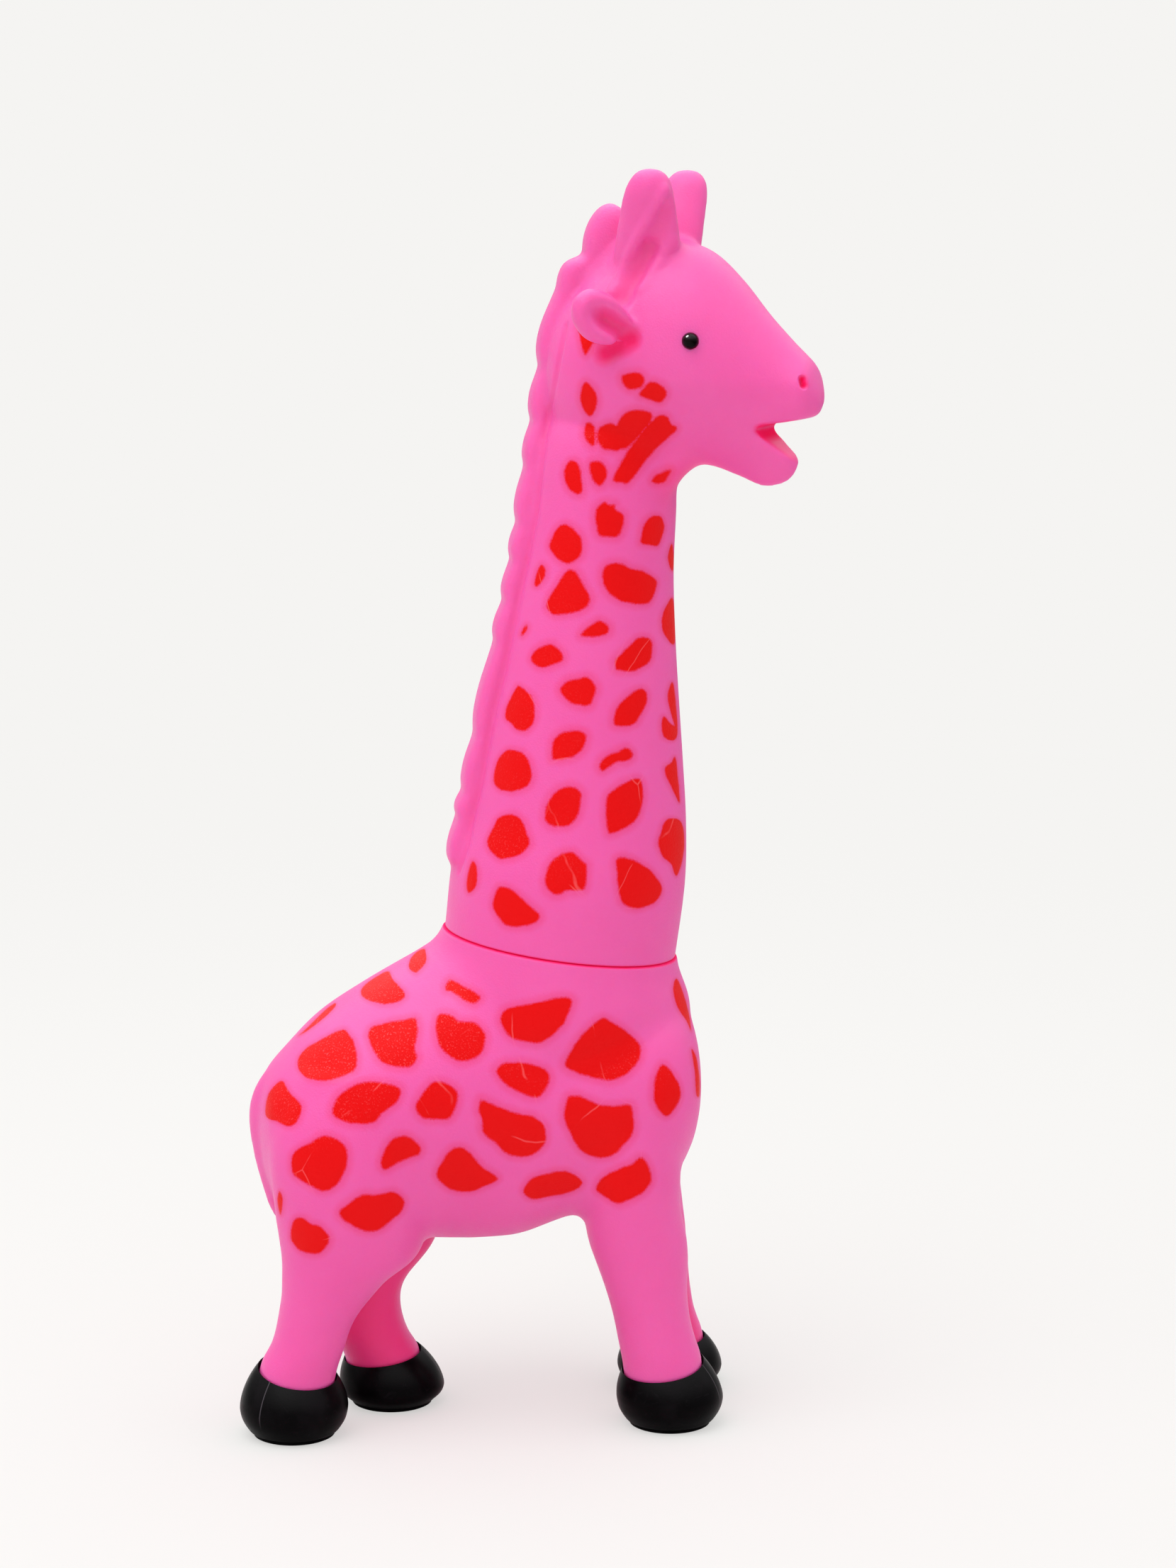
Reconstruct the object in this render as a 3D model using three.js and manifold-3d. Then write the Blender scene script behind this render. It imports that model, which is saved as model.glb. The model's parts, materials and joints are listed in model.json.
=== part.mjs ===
// Soft-vinyl giraffe squeeze toy with a swivelling neck, in millimetres, +Z up, walking towards +X.
// Two hollow castings meet at a tilted round seam: the body with its legs, and the neck with its head.
import * as THREE from 'three';
import { mergeVertices } from 'three/addons/utils/BufferGeometryUtils.js';
import Module from 'manifold-3d';

const wasm = await Module();
wasm.setup();

// Driving dimensions
const WALL = 2.4; // thickness of both castings
const GAP = 0.3; // clearance between neighbouring pieces

// Neck joint: a round seam, leaning forward, with a snap flange of the neck under a lip of the body
const SEAM = { x: 12.7, z: 114, radius: 27.3, lean: 7.9 };
const LIP_THICKNESS = 3;
const LIP_BORE_RADIUS = 19.5;
const FLANGE_RADIUS = 23;
const FLANGE_THICKNESS = 2.6;
const SPIGOT_WALL = 3;

// Hooves: bell-shaped boots on plugs at the ends of the legs
const HOOF = { height: 13, radius: 12.6, soleRadius: 9.6, soleStep: 1.2, soleOverhang: 0.8, widestAt: 5.6 };
const HOOF_SHOULDER = { rise: 3.6, drawnIn: 0.7 }; // where the bell starts to close above its widest ring
const HOOF_FLOOR = 3.5; // thickness under the plug's socket
const PLUG_RADIUS = 7;
const LEG_SETBACK = 0.4; // the leg stands this far inside the hoof's rim

// Head: turned to its right on the neck, with its own frame at the top of the neck
const HEAD = { x: 24, turn: 29 };
const EYE = { x: 25.8, y: 15.2, z: 255.6, radius: 1.9, yaw: 20 };
const EYE_SHANK = { radius: 1, length: 4.5 };
const MOUTH = { x: 37.5, z: 235.3, upperRise: 10, lowerDrop: 36, reach: 24, width: 40 };
const HORN_SPACING = 23.6; // between the tips
const EAR = { x: 12.5, y: 14.5, z: 257, length: 19, root: 4, width: 12, thickness: 4.8, cup: 1.8 };
const EAR_TIP = [-0.62, -0.66, 0.42]; // the way the right ear points, in the head's frame
const EAR_FRONT = [0.7, -0.7, -0.1]; // the way its hollow looks

// Mane: a low scalloped ridge down the back of the neck
const MANE = { lobes: 11, thickness: 10.5, scallop: 0.26, endShare: 0.35 };

// Squeaker: a flanged cup pressed into a boss in the belly, with a reed plate inside
const SQUEAKER = { x: -4, flangeRadius: 8.4, flangeThickness: 1.5, cupRadius: 6, cupHeight: 12, bore: 4.8 };
const SQUEAKER_SOUND_HOLE = 2;
const SQUEAKER_FLOOR = 2;
const BOSS = { radius: 11.5, ceiling: 47.6, thickness: 3.4 };
const BEAD = { reach: 0.9, height: 1.6 }; // snap bead of the cup above the boss
const REED_PLATE = { thickness: 2.4, slotWidth: 2.6, slotLength: 5.4 };
const REED = { length: 7.4, width: 3.4, thickness: 0.5 };

// Rows of the skins. A row is a ring: its centre, its half size along and across, and its plane's lean.
// A lean of 0 is a level ring that lies along X, and UPRIGHT is a ring that stands along Z.
const UPRIGHT = -90;

// Torso: top and bottom line and half width, from the rump to the chest
const TORSO = [
  { x: -59, top: 73, bottom: 71, width: 1 },
  { x: -56.6, top: 82, bottom: 59, width: 15 },
  { x: -50.8, top: 89, bottom: 50.5, width: 23 },
  { x: -44, top: 97, bottom: 46, width: 26.5 },
  { x: -33, top: 103.8, bottom: 43.8, width: 28 },
  { x: -20, top: 110.4, bottom: 43.2, width: 28 },
  { x: -6, top: 114.6, bottom: 43.4, width: 28.5 },
  { x: 10, top: 112, bottom: 45.5, width: 29.5 },
  { x: 24, top: 111, bottom: 48.5, width: 29.5 },
  { x: 34, top: 108, bottom: 52, width: 27.5 },
  { x: 41, top: 101, bottom: 60, width: 22 },
  { x: 44.4, top: 92, bottom: 70, width: 14 },
  { x: 45.4, top: 83, bottom: 81, width: 1 },
];

// Pedestal that carries the neck's seat on the shoulders
const PEDESTAL = [
  { x: 11.7, z: 78, along: 27, across: 25 },
  { x: 12.2, z: 97, along: 30.6, across: 29 },
];

// Legs: from the shoulder or haunch down to the ankle, whose row is also the hoof's place
const LEGS = {
  front_right: {
    ankle: { x: 37.1, y: -15.5, along: 10.2, across: 9.8, lean: -6 },
    rows: [
      { x: 24, y: -13, z: 94, along: 11, across: 11 },
      { x: 26.5, y: -15.5, z: 80, along: 14.5, across: 13.5 },
      { x: 27.6, y: -16.4, z: 64, along: 13.4, across: 12.6 },
      { x: 29.2, y: -16.4, z: 51, along: 12, across: 11 },
      { x: 31.8, y: -16, z: 40, along: 10.8, across: 9.8 },
      { x: 33.6, y: -15.8, z: 27, along: 9.4, across: 9.2 },
    ],
  },
  front_left: {
    ankle: { x: 41, y: 13.5, along: 10.2, across: 9.8, lean: -8 },
    rows: [
      { x: 25.6, y: 13, z: 94, along: 11, across: 11 },
      { x: 28.7, y: 15.5, z: 80, along: 14.5, across: 13.5 },
      { x: 29.8, y: 16, z: 64, along: 13.4, across: 12.6 },
      { x: 32, y: 15.6, z: 51, along: 11.8, across: 11 },
      { x: 34.7, y: 14.8, z: 40, along: 10.8, across: 9.8 },
      { x: 37, y: 14, z: 27, along: 9.4, across: 9.2 },
    ],
  },
  rear_right: {
    ankle: { x: -52, y: -13, along: 9.9, across: 9.6, lean: 11 },
    rows: [
      { x: -36, y: -12.4, z: 88, along: 14, across: 12 },
      { x: -37.4, y: -14.4, z: 72, along: 19.2, across: 14.6 },
      { x: -37.6, y: -14.8, z: 56, along: 18.4, across: 14 },
      { x: -38.8, y: -14.2, z: 43, along: 15.4, across: 12 },
      { x: -42, y: -13.6, z: 33, along: 12.6, across: 10 },
      { x: -47, y: -13.2, z: 23, along: 10.4, across: 9.4 },
    ],
  },
  rear_left: {
    ankle: { x: -28, y: 8, along: 9.2, across: 9.4, lean: -3 },
    rows: [
      { x: -34, y: 12, z: 88, along: 14, across: 12 },
      { x: -36, y: 14, z: 72, along: 20, across: 14.6 },
      { x: -35, y: 14, z: 56, along: 20.4, across: 14 },
      { x: -33.6, y: 12.4, z: 43, along: 18.6, across: 12 },
      { x: -34.6, y: 10.8, z: 36, along: 15.4, across: 10.6 },
      { x: -34.6, y: 9.6, z: 30, along: 10.8, across: 9.8 },
      { x: -33, y: 8.6, z: 22, along: 9.2, across: 9.2 },
    ],
  },
};

// Tail: hangs flat against the rump
const TAIL = [
  { x: -49, y: 0, z: 90, along: 2, across: 3 },
  { x: -55.6, y: 0, z: 82, along: 3, across: 4.4 },
  { x: -57.8, y: 0, z: 75, along: 3.2, across: 4.6 },
  { x: -56.8, y: 0, z: 65, along: 3, across: 4 },
  { x: -54.8, y: 0, z: 56, along: 2.6, across: 3.2 },
  { x: -52, y: 0, z: 49, along: 1.6, across: 2 },
];

// Neck: from just above the seam to inside the skull
const NECK = [
  { x: 14.8, z: 131, along: 27.4, across: 27.2, lean: 5 },
  { x: 16.6, z: 144, along: 25.7, across: 25.2, lean: 3 },
  { x: 17.5, z: 157, along: 24, across: 23.4, lean: 1 },
  { x: 18.4, z: 170, along: 22.2, across: 21.6, lean: 0 },
  { x: 19.6, z: 185, along: 20.1, across: 19.6, lean: 0 },
  { x: 21, z: 201, along: 18.2, across: 17.8, lean: 0 },
  { x: 22.8, z: 217, along: 17, across: 16.6, lean: 0 },
  { x: 24.2, z: 232, along: 15.6, across: 15.4, lean: 0 },
  { x: 26, z: 246, along: 10, across: 10, lean: 0 },
];

// Head with its mouth shut, in the head's frame: from the back of the skull to the muzzle
const SKULL = [
  { x: -14, top: 250, bottom: 246, width: 1.5 },
  { x: -11.5, top: 258.5, bottom: 234, width: 9 },
  { x: -6, top: 266.5, bottom: 227, width: 13.8 },
  { x: 2, top: 272.6, bottom: 224.5, width: 16.4 },
  { x: 10, top: 275.8, bottom: 224.5, width: 17.2 },
  { x: 18, top: 276.6, bottom: 226, width: 17 },
  { x: 25, top: 274.2, bottom: 226.6, width: 15.8 },
  { x: 32, top: 268.4, bottom: 224.9, width: 13.2 },
  { x: 39, top: 260.6, bottom: 222.9, width: 10.4 },
  { x: 45, top: 254.8, bottom: 225.4, width: 8.6 },
  { x: 47.8, top: 252.2, bottom: 231.4, width: 7.9 },
  { x: 50, top: 249.6, bottom: 236.4, width: 6.6 },
  { x: 51.8, top: 244.5, bottom: 240.5, width: 2.4 },
];
const SKULL_CAVITY_END = 30; // the muzzle in front of this is solid

// Horns, in the head's frame: they lean outwards, and out is counted from the tips' spacing
const HORN = [
  { x: 11, out: -8.4, z: 262, along: 7.8, across: 5.6 },
  { x: 12.2, out: -5.8, z: 274, along: 7.6, across: 5.2 },
  { x: 13.3, out: -3.4, z: 281.5, along: 6.6, across: 4.8 },
  { x: 15.1, out: -0.9, z: 288.8, along: 5.3, across: 4.3 },
  { x: 15.9, out: -0.1, z: 292.8, along: 3.3, across: 2.8 },
  { x: 16, out: 0, z: 293.6, along: 0.6, across: 0.6 },
];

// Mane, in the body's frame: where its ridge starts from, how far it stands out and how it leans
const MANE_ROWS = [
  { x: -12.2, y: 0, z: 131, height: 1.6, lean: 4 },
  { x: -10.6, y: 0, z: 138, height: 2.8, lean: 4 },
  { x: -6.7, y: 0, z: 155, height: 3.1, lean: 4 },
  { x: -3.6, y: 0, z: 170, height: 3.2, lean: 4 },
  { x: 0.2, y: 0, z: 187, height: 3, lean: 4 },
  { x: 3.4, y: 0.6, z: 203, height: 2.8, lean: 4 },
  { x: 6, y: 1.8, z: 218, height: 3, lean: 5 },
  { x: 8.2, y: 3.2, z: 230, height: 3.2, lean: 6 },
  { x: 10.8, y: 4.6, z: 243, height: 3.9, lean: 10 },
  { x: 13.4, y: 5, z: 256, height: 4.4, lean: 20 },
  { x: 17.8, y: 4, z: 266, height: 5.4, lean: 38 },
  { x: 23, y: 2, z: 271.6, height: 7.4, lean: 52 },
  { x: 27.6, y: 0.4, z: 275.6, height: 10, lean: 66 },
  { x: 32, y: -1, z: 276, height: 9, lean: 82 },
];

const degrees = THREE.MathUtils.degToRad;

// A ring as a row with its centre, half sizes and lean
function ring(x, y, z, along, across, lean = 0) {
  return { place: new THREE.Vector3(x, y, z), size: new THREE.Vector3(along, across, lean) };
}

// A ring that stands upright across X, between a top and a bottom line
function uprightRing({ x, top, bottom, width }) {
  return ring(x, 0, (top + bottom) / 2, (top - bottom) / 2, width, UPRIGHT);
}

// More rings along smooth curves through the given ones
function smooth(rings, count) {
  const places = new THREE.CatmullRomCurve3(rings.map((r) => r.place), false, 'centripetal');
  const sizes = new THREE.CatmullRomCurve3(rings.map((r) => r.size), false, 'catmullrom', 0.5);
  return Array.from({ length: count }, (_, i) => {
    const t = i / (count - 1);
    return { place: places.getPoint(t), size: sizes.getPoint(t) };
  });
}

// The same rings drawn in by the wall, with both ends moved in as well
function inside(rings, wall) {
  const kept = rings.filter((r) => Math.min(r.size.x, r.size.y) > 2 * wall);
  return kept.map((r, i) => {
    const place = r.place.clone();
    const inward = i === 0 ? kept[1].place : i === kept.length - 1 ? kept[i - 1].place : null;
    if (inward) place.add(inward.clone().sub(r.place).setLength(wall));
    return { place, size: new THREE.Vector3(r.size.x - wall, r.size.y - wall, r.size.z) };
  });
}

// A closed skin over a row of elliptical rings, with a point in the middle of each end
function skin(rings, sides) {
  const points = [];
  const faces = [];
  for (const { place, size } of rings) {
    const lean = degrees(size.z);
    for (let i = 0; i < sides; i++) {
      const turn = (i / sides) * 2 * Math.PI;
      const along = size.x * Math.cos(turn);
      points.push(
        place.x + along * Math.cos(lean), place.y + size.y * Math.sin(turn), place.z - along * Math.sin(lean));
    }
  }
  const ends = [rings[0].place, rings[rings.length - 1].place];
  ends.forEach((end) => points.push(end.x, end.y, end.z));
  const first = rings.length * sides;
  const last = first - sides;
  for (let i = 0; i < sides; i++) {
    const next = (i + 1) % sides;
    for (let r = 0; r < last; r += sides) {
      faces.push(r + i, r + next, r + sides + i, r + next, r + sides + next, r + sides + i);
    }
    faces.push(first, next, i, first + 1, last + i, last + next);
  }
  const geometry = new THREE.BufferGeometry();
  geometry.setAttribute('position', new THREE.Float32BufferAttribute(points, 3));
  geometry.setIndex(faces);
  return geometry;
}

// A round piece on the Z axis from its profile of [radius, height] points
function turned(profile, sides) {
  return new THREE.LatheGeometry(profile.map(([r, z]) => new THREE.Vector2(r, z)), sides).rotateX(Math.PI / 2);
}

// A plain round bar on the Z axis
function bar(radius, from, to, sides = 32) {
  return turned([[0, from], [radius, from], [radius, to], [0, to]], sides);
}

// Boolean solids, with their faces turned outwards whichever way the geometry was wound
function solid(geometry) {
  const bare = geometry.clone();
  bare.deleteAttribute('normal');
  bare.deleteAttribute('uv');
  const merged = mergeVertices(bare, 1e-4);
  const vertProperties = new Float32Array(merged.attributes.position.array);
  const corners = Array.from(merged.index.array);
  const triVerts = [];
  for (let i = 0; i < corners.length; i += 3) {
    const [a, b, c] = corners.slice(i, i + 3);
    if (a !== b && b !== c && c !== a) triVerts.push(a, b, c);
  }
  const corner = (i) => new THREE.Vector3().fromArray(vertProperties, 3 * i);
  let volume = 0;
  for (let i = 0; i < triVerts.length; i += 3) {
    const [a, b, c] = triVerts.slice(i, i + 3).map(corner);
    volume += a.dot(b.cross(c));
  }
  if (volume < 0) triVerts.reverse();
  return new wasm.Manifold(new wasm.Mesh({ numProp: 3, vertProperties, triVerts: new Uint32Array(triVerts) }));
}

function joined(geometries) {
  return geometries.map(solid).reduce((whole, piece) => whole.add(piece));
}

function toGeometry(manifold) {
  const mesh = manifold.getMesh();
  const geometry = new THREE.BufferGeometry();
  geometry.setAttribute('position', new THREE.Float32BufferAttribute(mesh.vertProperties, 3));
  geometry.setIndex(Array.from(mesh.triVerts));
  geometry.computeVertexNormals();
  return geometry;
}

// Frames of the seam and of the head
const seamFrame = new THREE.Matrix4()
  .makeTranslation(SEAM.x, 0, SEAM.z)
  .multiply(new THREE.Matrix4().makeRotationY(degrees(SEAM.lean)));
const headFrame = new THREE.Matrix4()
  .makeTranslation(HEAD.x, 0, 0)
  .multiply(new THREE.Matrix4().makeRotationZ(degrees(-HEAD.turn)));

// A seam ring at a height above the seam, measured along the swivel axis
function seamRing(height, radius) {
  const centre = new THREE.Vector3(0, 0, height).applyMatrix4(seamFrame);
  return ring(centre.x, centre.y, centre.z, radius, radius, SEAM.lean);
}

// Heights on the swivel axis
const SEAT = -GAP; // the body's rim
const LIP_UNDERSIDE = SEAT - LIP_THICKNESS;
const FLANGE_TOP = LIP_UNDERSIDE - GAP;
const FLANGE_UNDERSIDE = FLANGE_TOP - FLANGE_THICKNESS;
const SPIGOT_RADIUS = LIP_BORE_RADIUS - GAP;
const SPIGOT_BORE = SPIGOT_RADIUS - SPIGOT_WALL;

// Rings of a leg from its top to its ankle, which stands on the hoof's rim
function legRings({ rows, ankle }, count) {
  const upper = rows.map((r) => ring(r.x, r.y, r.z, r.along, r.across));
  const foot = ring(ankle.x, ankle.y, HOOF.height + GAP, ankle.along, ankle.across, ankle.lean);
  return smooth([...upper, foot], count);
}

// Rings of the pedestal, up to the body's rim at the seam
function pedestalRings() {
  const shoulder = PEDESTAL.map((r) => ring(r.x, 0, r.z, r.along, r.across));
  return smooth([...shoulder, seamRing(SEAT, SEAM.radius)], 6);
}

function bodyShell() {
  const torsoRows = TORSO.map(uprightRing);
  const legs = Object.values(LEGS).map((leg) => legRings(leg, 12));
  const pedestal = pedestalRings();
  const tail = smooth(TAIL.map((r) => ring(r.x, r.y, r.z, r.along, r.across)), 9);
  const outside = joined([
    skin(smooth(torsoRows, 18), 26), skin(pedestal, 36), skin(tail, 10), ...legs.map((leg) => skin(leg, 16))]);
  const hollowLegs = Object.values(LEGS).map((leg) => skin(inside(legRings(leg, 8).slice(0, -2), WALL), 12));
  const hollow = joined([skin(inside(smooth(torsoRows, 12), WALL), 18), ...hollowLegs]);
  const throat = skin(inside([...pedestal.slice(0, -1), seamRing(LIP_UNDERSIDE + WALL, SEAM.radius)], WALL), 36);
  const boss = bar(BOSS.radius, BOSS.ceiling, BOSS.ceiling + BOSS.thickness).translate(SQUEAKER.x, 0, 0);
  const pocket = bar(SQUEAKER.flangeRadius + GAP, 0, BOSS.ceiling).translate(SQUEAKER.x, 0, 0);
  const cupHole = bar(SQUEAKER.cupRadius + GAP, 0, BOSS.ceiling + BOSS.thickness + 1).translate(SQUEAKER.x, 0, 0);
  const neckHole = bar(LIP_BORE_RADIUS, LIP_UNDERSIDE - WALL, SEAT + WALL, 40).applyMatrix4(seamFrame);
  const plugs = Object.values(LEGS).map(({ ankle }) =>
    bar(PLUG_RADIUS, HOOF_FLOOR + GAP, HOOF.height + 2 * GAP, 20).translate(ankle.x, ankle.y, 0));
  return outside
    .subtract(hollow)
    .subtract(solid(throat))
    .add(solid(boss))
    .subtract(solid(pocket))
    .subtract(solid(cupHole))
    .subtract(solid(neckHole))
    .add(joined(plugs));
}

// Mane: rings along the ridge, whose height rises and falls in lobes
function maneSkin() {
  const rows = MANE_ROWS.map((r) => ring(r.x, r.y, r.z, r.height, MANE.thickness / 2, r.lean));
  const stepsPerLobe = 4;
  const count = MANE.lobes * stepsPerLobe + 1;
  const rings = smooth(rows, count).map(({ place, size }, i) => {
    const lobe = Math.abs(Math.sin((i / stepsPerLobe) * Math.PI));
    const height = size.x * (1 - MANE.scallop * (1 - lobe));
    const ends = Math.min(1, MANE.endShare + Math.min(i, count - 1 - i) / stepsPerLobe);
    return { place, size: new THREE.Vector3(height * ends, size.y * ends, size.z) };
  });
  return skin(rings, 10);
}

// One horn, on the left for side 1 and on the right for side -1
function hornSkin(side) {
  const rows = HORN.map((r) => ring(r.x, side * (HORN_SPACING / 2 + r.out), r.z, r.along, r.across));
  return skin(smooth(rows, 9), 12);
}

// Rings of the ear's leaf from its root to its tip, and the half sizes of its hollow
const EAR_LEAF = [
  { z: -EAR.root, along: 0.24 * EAR.width, across: 0.5 * EAR.thickness },
  { z: 0, along: 0.33 * EAR.width, across: 0.5 * EAR.thickness },
  { z: 0.5 * EAR.length, along: 0.5 * EAR.width, across: 0.46 * EAR.thickness },
  { z: 0.78 * EAR.length, along: 0.36 * EAR.width, across: 0.36 * EAR.thickness },
  { z: EAR.length, along: 0.06 * EAR.width, across: 0.08 * EAR.thickness },
];
const EAR_HOLLOW = { along: 0.32 * EAR.width, length: 0.34 * EAR.length };

// One ear: a leaf that points out and back, with a hollow in its front face
function earSolid(side) {
  const leaf = EAR_LEAF.map((r) => ring(0, 0, r.z, r.along, r.across));
  const hollow = new THREE.SphereGeometry(1, 14, 10);
  hollow.scale(EAR_HOLLOW.along, EAR.cup, EAR_HOLLOW.length).translate(0, EAR.thickness / 2, EAR.length / 2);
  const tip = new THREE.Vector3(...EAR_TIP).normalize();
  const front = new THREE.Vector3(...EAR_FRONT);
  front.addScaledVector(tip, -front.dot(tip)).normalize();
  const frame = new THREE.Matrix4()
    .makeBasis(new THREE.Vector3().crossVectors(front, tip), front, tip)
    .setPosition(EAR.x, -EAR.y, EAR.z);
  const mirror = new THREE.Matrix4().makeScale(1, -side, 1);
  const placed = (geometry) => geometry.applyMatrix4(frame).applyMatrix4(mirror).applyMatrix4(headFrame);
  return solid(placed(skin(smooth(leaf, 9), 14))).subtract(solid(placed(hollow)));
}

// The eye's own frame, looking outwards along its Z, for the left (1) or right (-1) side
function eyeFrame(side) {
  const outward = new THREE.Matrix4().makeRotationX(degrees(-90 * side));
  const yaw = new THREE.Matrix4().makeRotationZ(degrees(-side * EYE.yaw));
  const place = new THREE.Matrix4().makeTranslation(EYE.x, side * EYE.y, EYE.z);
  return headFrame.clone().multiply(place).multiply(yaw).multiply(outward);
}

// A bead on a shank, grown by a clearance where it is used as its own socket
function eyeSolid(side, clearance = 0) {
  const bead = new THREE.SphereGeometry(EYE.radius + clearance, 14, 10);
  const shank = bar(EYE_SHANK.radius + clearance, -EYE_SHANK.length - clearance, 0, 12);
  return joined([bead, shank].map((g) => g.applyMatrix4(eyeFrame(side))));
}

// The open mouth: a wedge between the upper and the lower lip
function mouthSolid() {
  const edge = (angle) => MOUTH.z + MOUTH.reach * Math.tan(degrees(angle));
  const wedge = new THREE.Shape([
    new THREE.Vector2(MOUTH.x, MOUTH.z + GAP),
    new THREE.Vector2(MOUTH.x, MOUTH.z - GAP),
    new THREE.Vector2(MOUTH.x + MOUTH.reach, edge(-MOUTH.lowerDrop)),
    new THREE.Vector2(MOUTH.x + MOUTH.reach, edge(MOUTH.upperRise)),
  ]);
  const cut = new THREE.ExtrudeGeometry(wedge, { depth: MOUTH.width, bevelEnabled: false });
  return solid(cut.translate(0, 0, -MOUTH.width / 2).rotateX(Math.PI / 2).applyMatrix4(headFrame));
}

function neckHeadShell() {
  const neckRows = [seamRing(GAP, SEAM.radius), ...NECK.map((r) => ring(r.x, 0, r.z, r.along, r.across, r.lean))];
  const skullRows = SKULL.map(uprightRing);
  const horns = [-1, 1].map((side) => hornSkin(side).applyMatrix4(headFrame));
  const skull = skin(smooth(skullRows, 18), 24).applyMatrix4(headFrame);
  const outside = joined([skin(smooth(neckRows, 17), 32), skull, maneSkin(), ...horns])
    .add(earSolid(-1))
    .add(earSolid(1))
    .subtract(mouthSolid());
  const hollowNeck = skin(inside(smooth(neckRows, 10), WALL), 20);
  const skullCavity = smooth(skullRows, 14).filter((r) => r.place.x < SKULL_CAVITY_END);
  const hollowSkull = skin(inside(skullCavity, WALL), 16);
  const spigot = bar(SPIGOT_RADIUS, FLANGE_UNDERSIDE, GAP + WALL, 40).applyMatrix4(seamFrame);
  const flange = bar(FLANGE_RADIUS, FLANGE_UNDERSIDE, FLANGE_TOP, 40).applyMatrix4(seamFrame);
  const bore = bar(SPIGOT_BORE, FLANGE_UNDERSIDE - WALL, GAP + 2 * WALL, 32).applyMatrix4(seamFrame);
  return outside
    .subtract(joined([hollowNeck, hollowSkull.applyMatrix4(headFrame)]))
    .add(joined([spigot, flange]))
    .subtract(solid(bore))
    .subtract(eyeSolid(-1, GAP))
    .subtract(eyeSolid(1, GAP));
}

// A hoof with a flat sole, an undercut edge and a socket for the leg's plug
function hoofSolid({ ankle }) {
  const round = (z, radius, lean = 0) => ring(ankle.x, ankle.y, z, radius, radius, lean);
  const sole = [round(0, HOOF.soleRadius), round(HOOF.soleStep, HOOF.soleRadius)];
  const rim = [ankle.along + LEG_SETBACK, ankle.across + LEG_SETBACK];
  const bell = smooth([
    round(HOOF.soleStep, HOOF.soleRadius + HOOF.soleOverhang),
    round(HOOF.widestAt, HOOF.radius),
    round(HOOF.widestAt + HOOF_SHOULDER.rise, HOOF.radius - HOOF_SHOULDER.drawnIn, ankle.lean / 2),
    ring(ankle.x, ankle.y, HOOF.height, ...rim, ankle.lean),
  ], 8);
  const socket = bar(PLUG_RADIUS + GAP, HOOF_FLOOR, 2 * HOOF.height, 20).translate(ankle.x, ankle.y, 0);
  return solid(skin([...sole, ...bell], 24)).subtract(solid(socket));
}

// Squeaker pieces, on the belly's vertical axis
const CUP_TOP = BOSS.ceiling - GAP + SQUEAKER.cupHeight;
const CUP_BOTTOM = BOSS.ceiling - GAP - SQUEAKER.flangeThickness;

function squeakerCup() {
  const shoulder = BOSS.ceiling - GAP;
  const beadFrom = BOSS.ceiling + BOSS.thickness + GAP;
  const profile = [
    [SQUEAKER_SOUND_HOLE, CUP_BOTTOM],
    [SQUEAKER.flangeRadius, CUP_BOTTOM],
    [SQUEAKER.flangeRadius, shoulder],
    [SQUEAKER.cupRadius, shoulder],
    [SQUEAKER.cupRadius, beadFrom],
    [SQUEAKER.cupRadius + BEAD.reach, beadFrom],
    [SQUEAKER.cupRadius, beadFrom + BEAD.height],
    [SQUEAKER.cupRadius, CUP_TOP],
    [SQUEAKER.bore, CUP_TOP],
    [SQUEAKER.bore, CUP_BOTTOM + SQUEAKER_FLOOR],
    [SQUEAKER_SOUND_HOLE, CUP_BOTTOM + SQUEAKER_FLOOR],
    [SQUEAKER_SOUND_HOLE, CUP_BOTTOM],
  ];
  return solid(turned(profile, 28).translate(SQUEAKER.x, 0, 0));
}

const PLATE_BOTTOM = CUP_BOTTOM + SQUEAKER_FLOOR + GAP;

function reedPlate() {
  const disc = bar(SQUEAKER.bore - GAP, PLATE_BOTTOM, PLATE_BOTTOM + REED_PLATE.thickness, 28);
  const slot = new THREE.BoxGeometry(REED_PLATE.slotLength, REED_PLATE.slotWidth, 3 * REED_PLATE.thickness);
  slot.translate(0, 0, PLATE_BOTTOM);
  return solid(disc.translate(SQUEAKER.x, 0, 0)).subtract(solid(slot.translate(SQUEAKER.x, 0, 0)));
}

function reed() {
  const strip = new THREE.BoxGeometry(REED.length, REED.width, REED.thickness);
  const height = PLATE_BOTTOM + REED_PLATE.thickness + GAP + REED.thickness / 2;
  return solid(strip.translate(SQUEAKER.x, 0, height));
}

// Materials
const pinkVinyl = new THREE.MeshStandardMaterial({ name: 'pink soft vinyl', color: 0xf25fa8, roughness: 0.5 });
const blackVinyl = new THREE.MeshStandardMaterial({ name: 'black soft vinyl', color: 0x121013, roughness: 0.38 });
const blackBead = new THREE.MeshStandardMaterial({ name: 'black glossy bead', color: 0x050505, roughness: 0.08 });
const whitePlastic = new THREE.MeshStandardMaterial({ name: 'white polyethylene', color: 0xe9e7e2, roughness: 0.45 });
const reedStrip = new THREE.MeshStandardMaterial({ name: 'reed strip', color: 0xc9c4ba, roughness: 0.3 });

const giraffe = new THREE.Group();

function place(name, manifold, material) {
  const mesh = new THREE.Mesh(toGeometry(manifold), material);
  mesh.name = name;
  giraffe.add(mesh);
}

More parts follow.
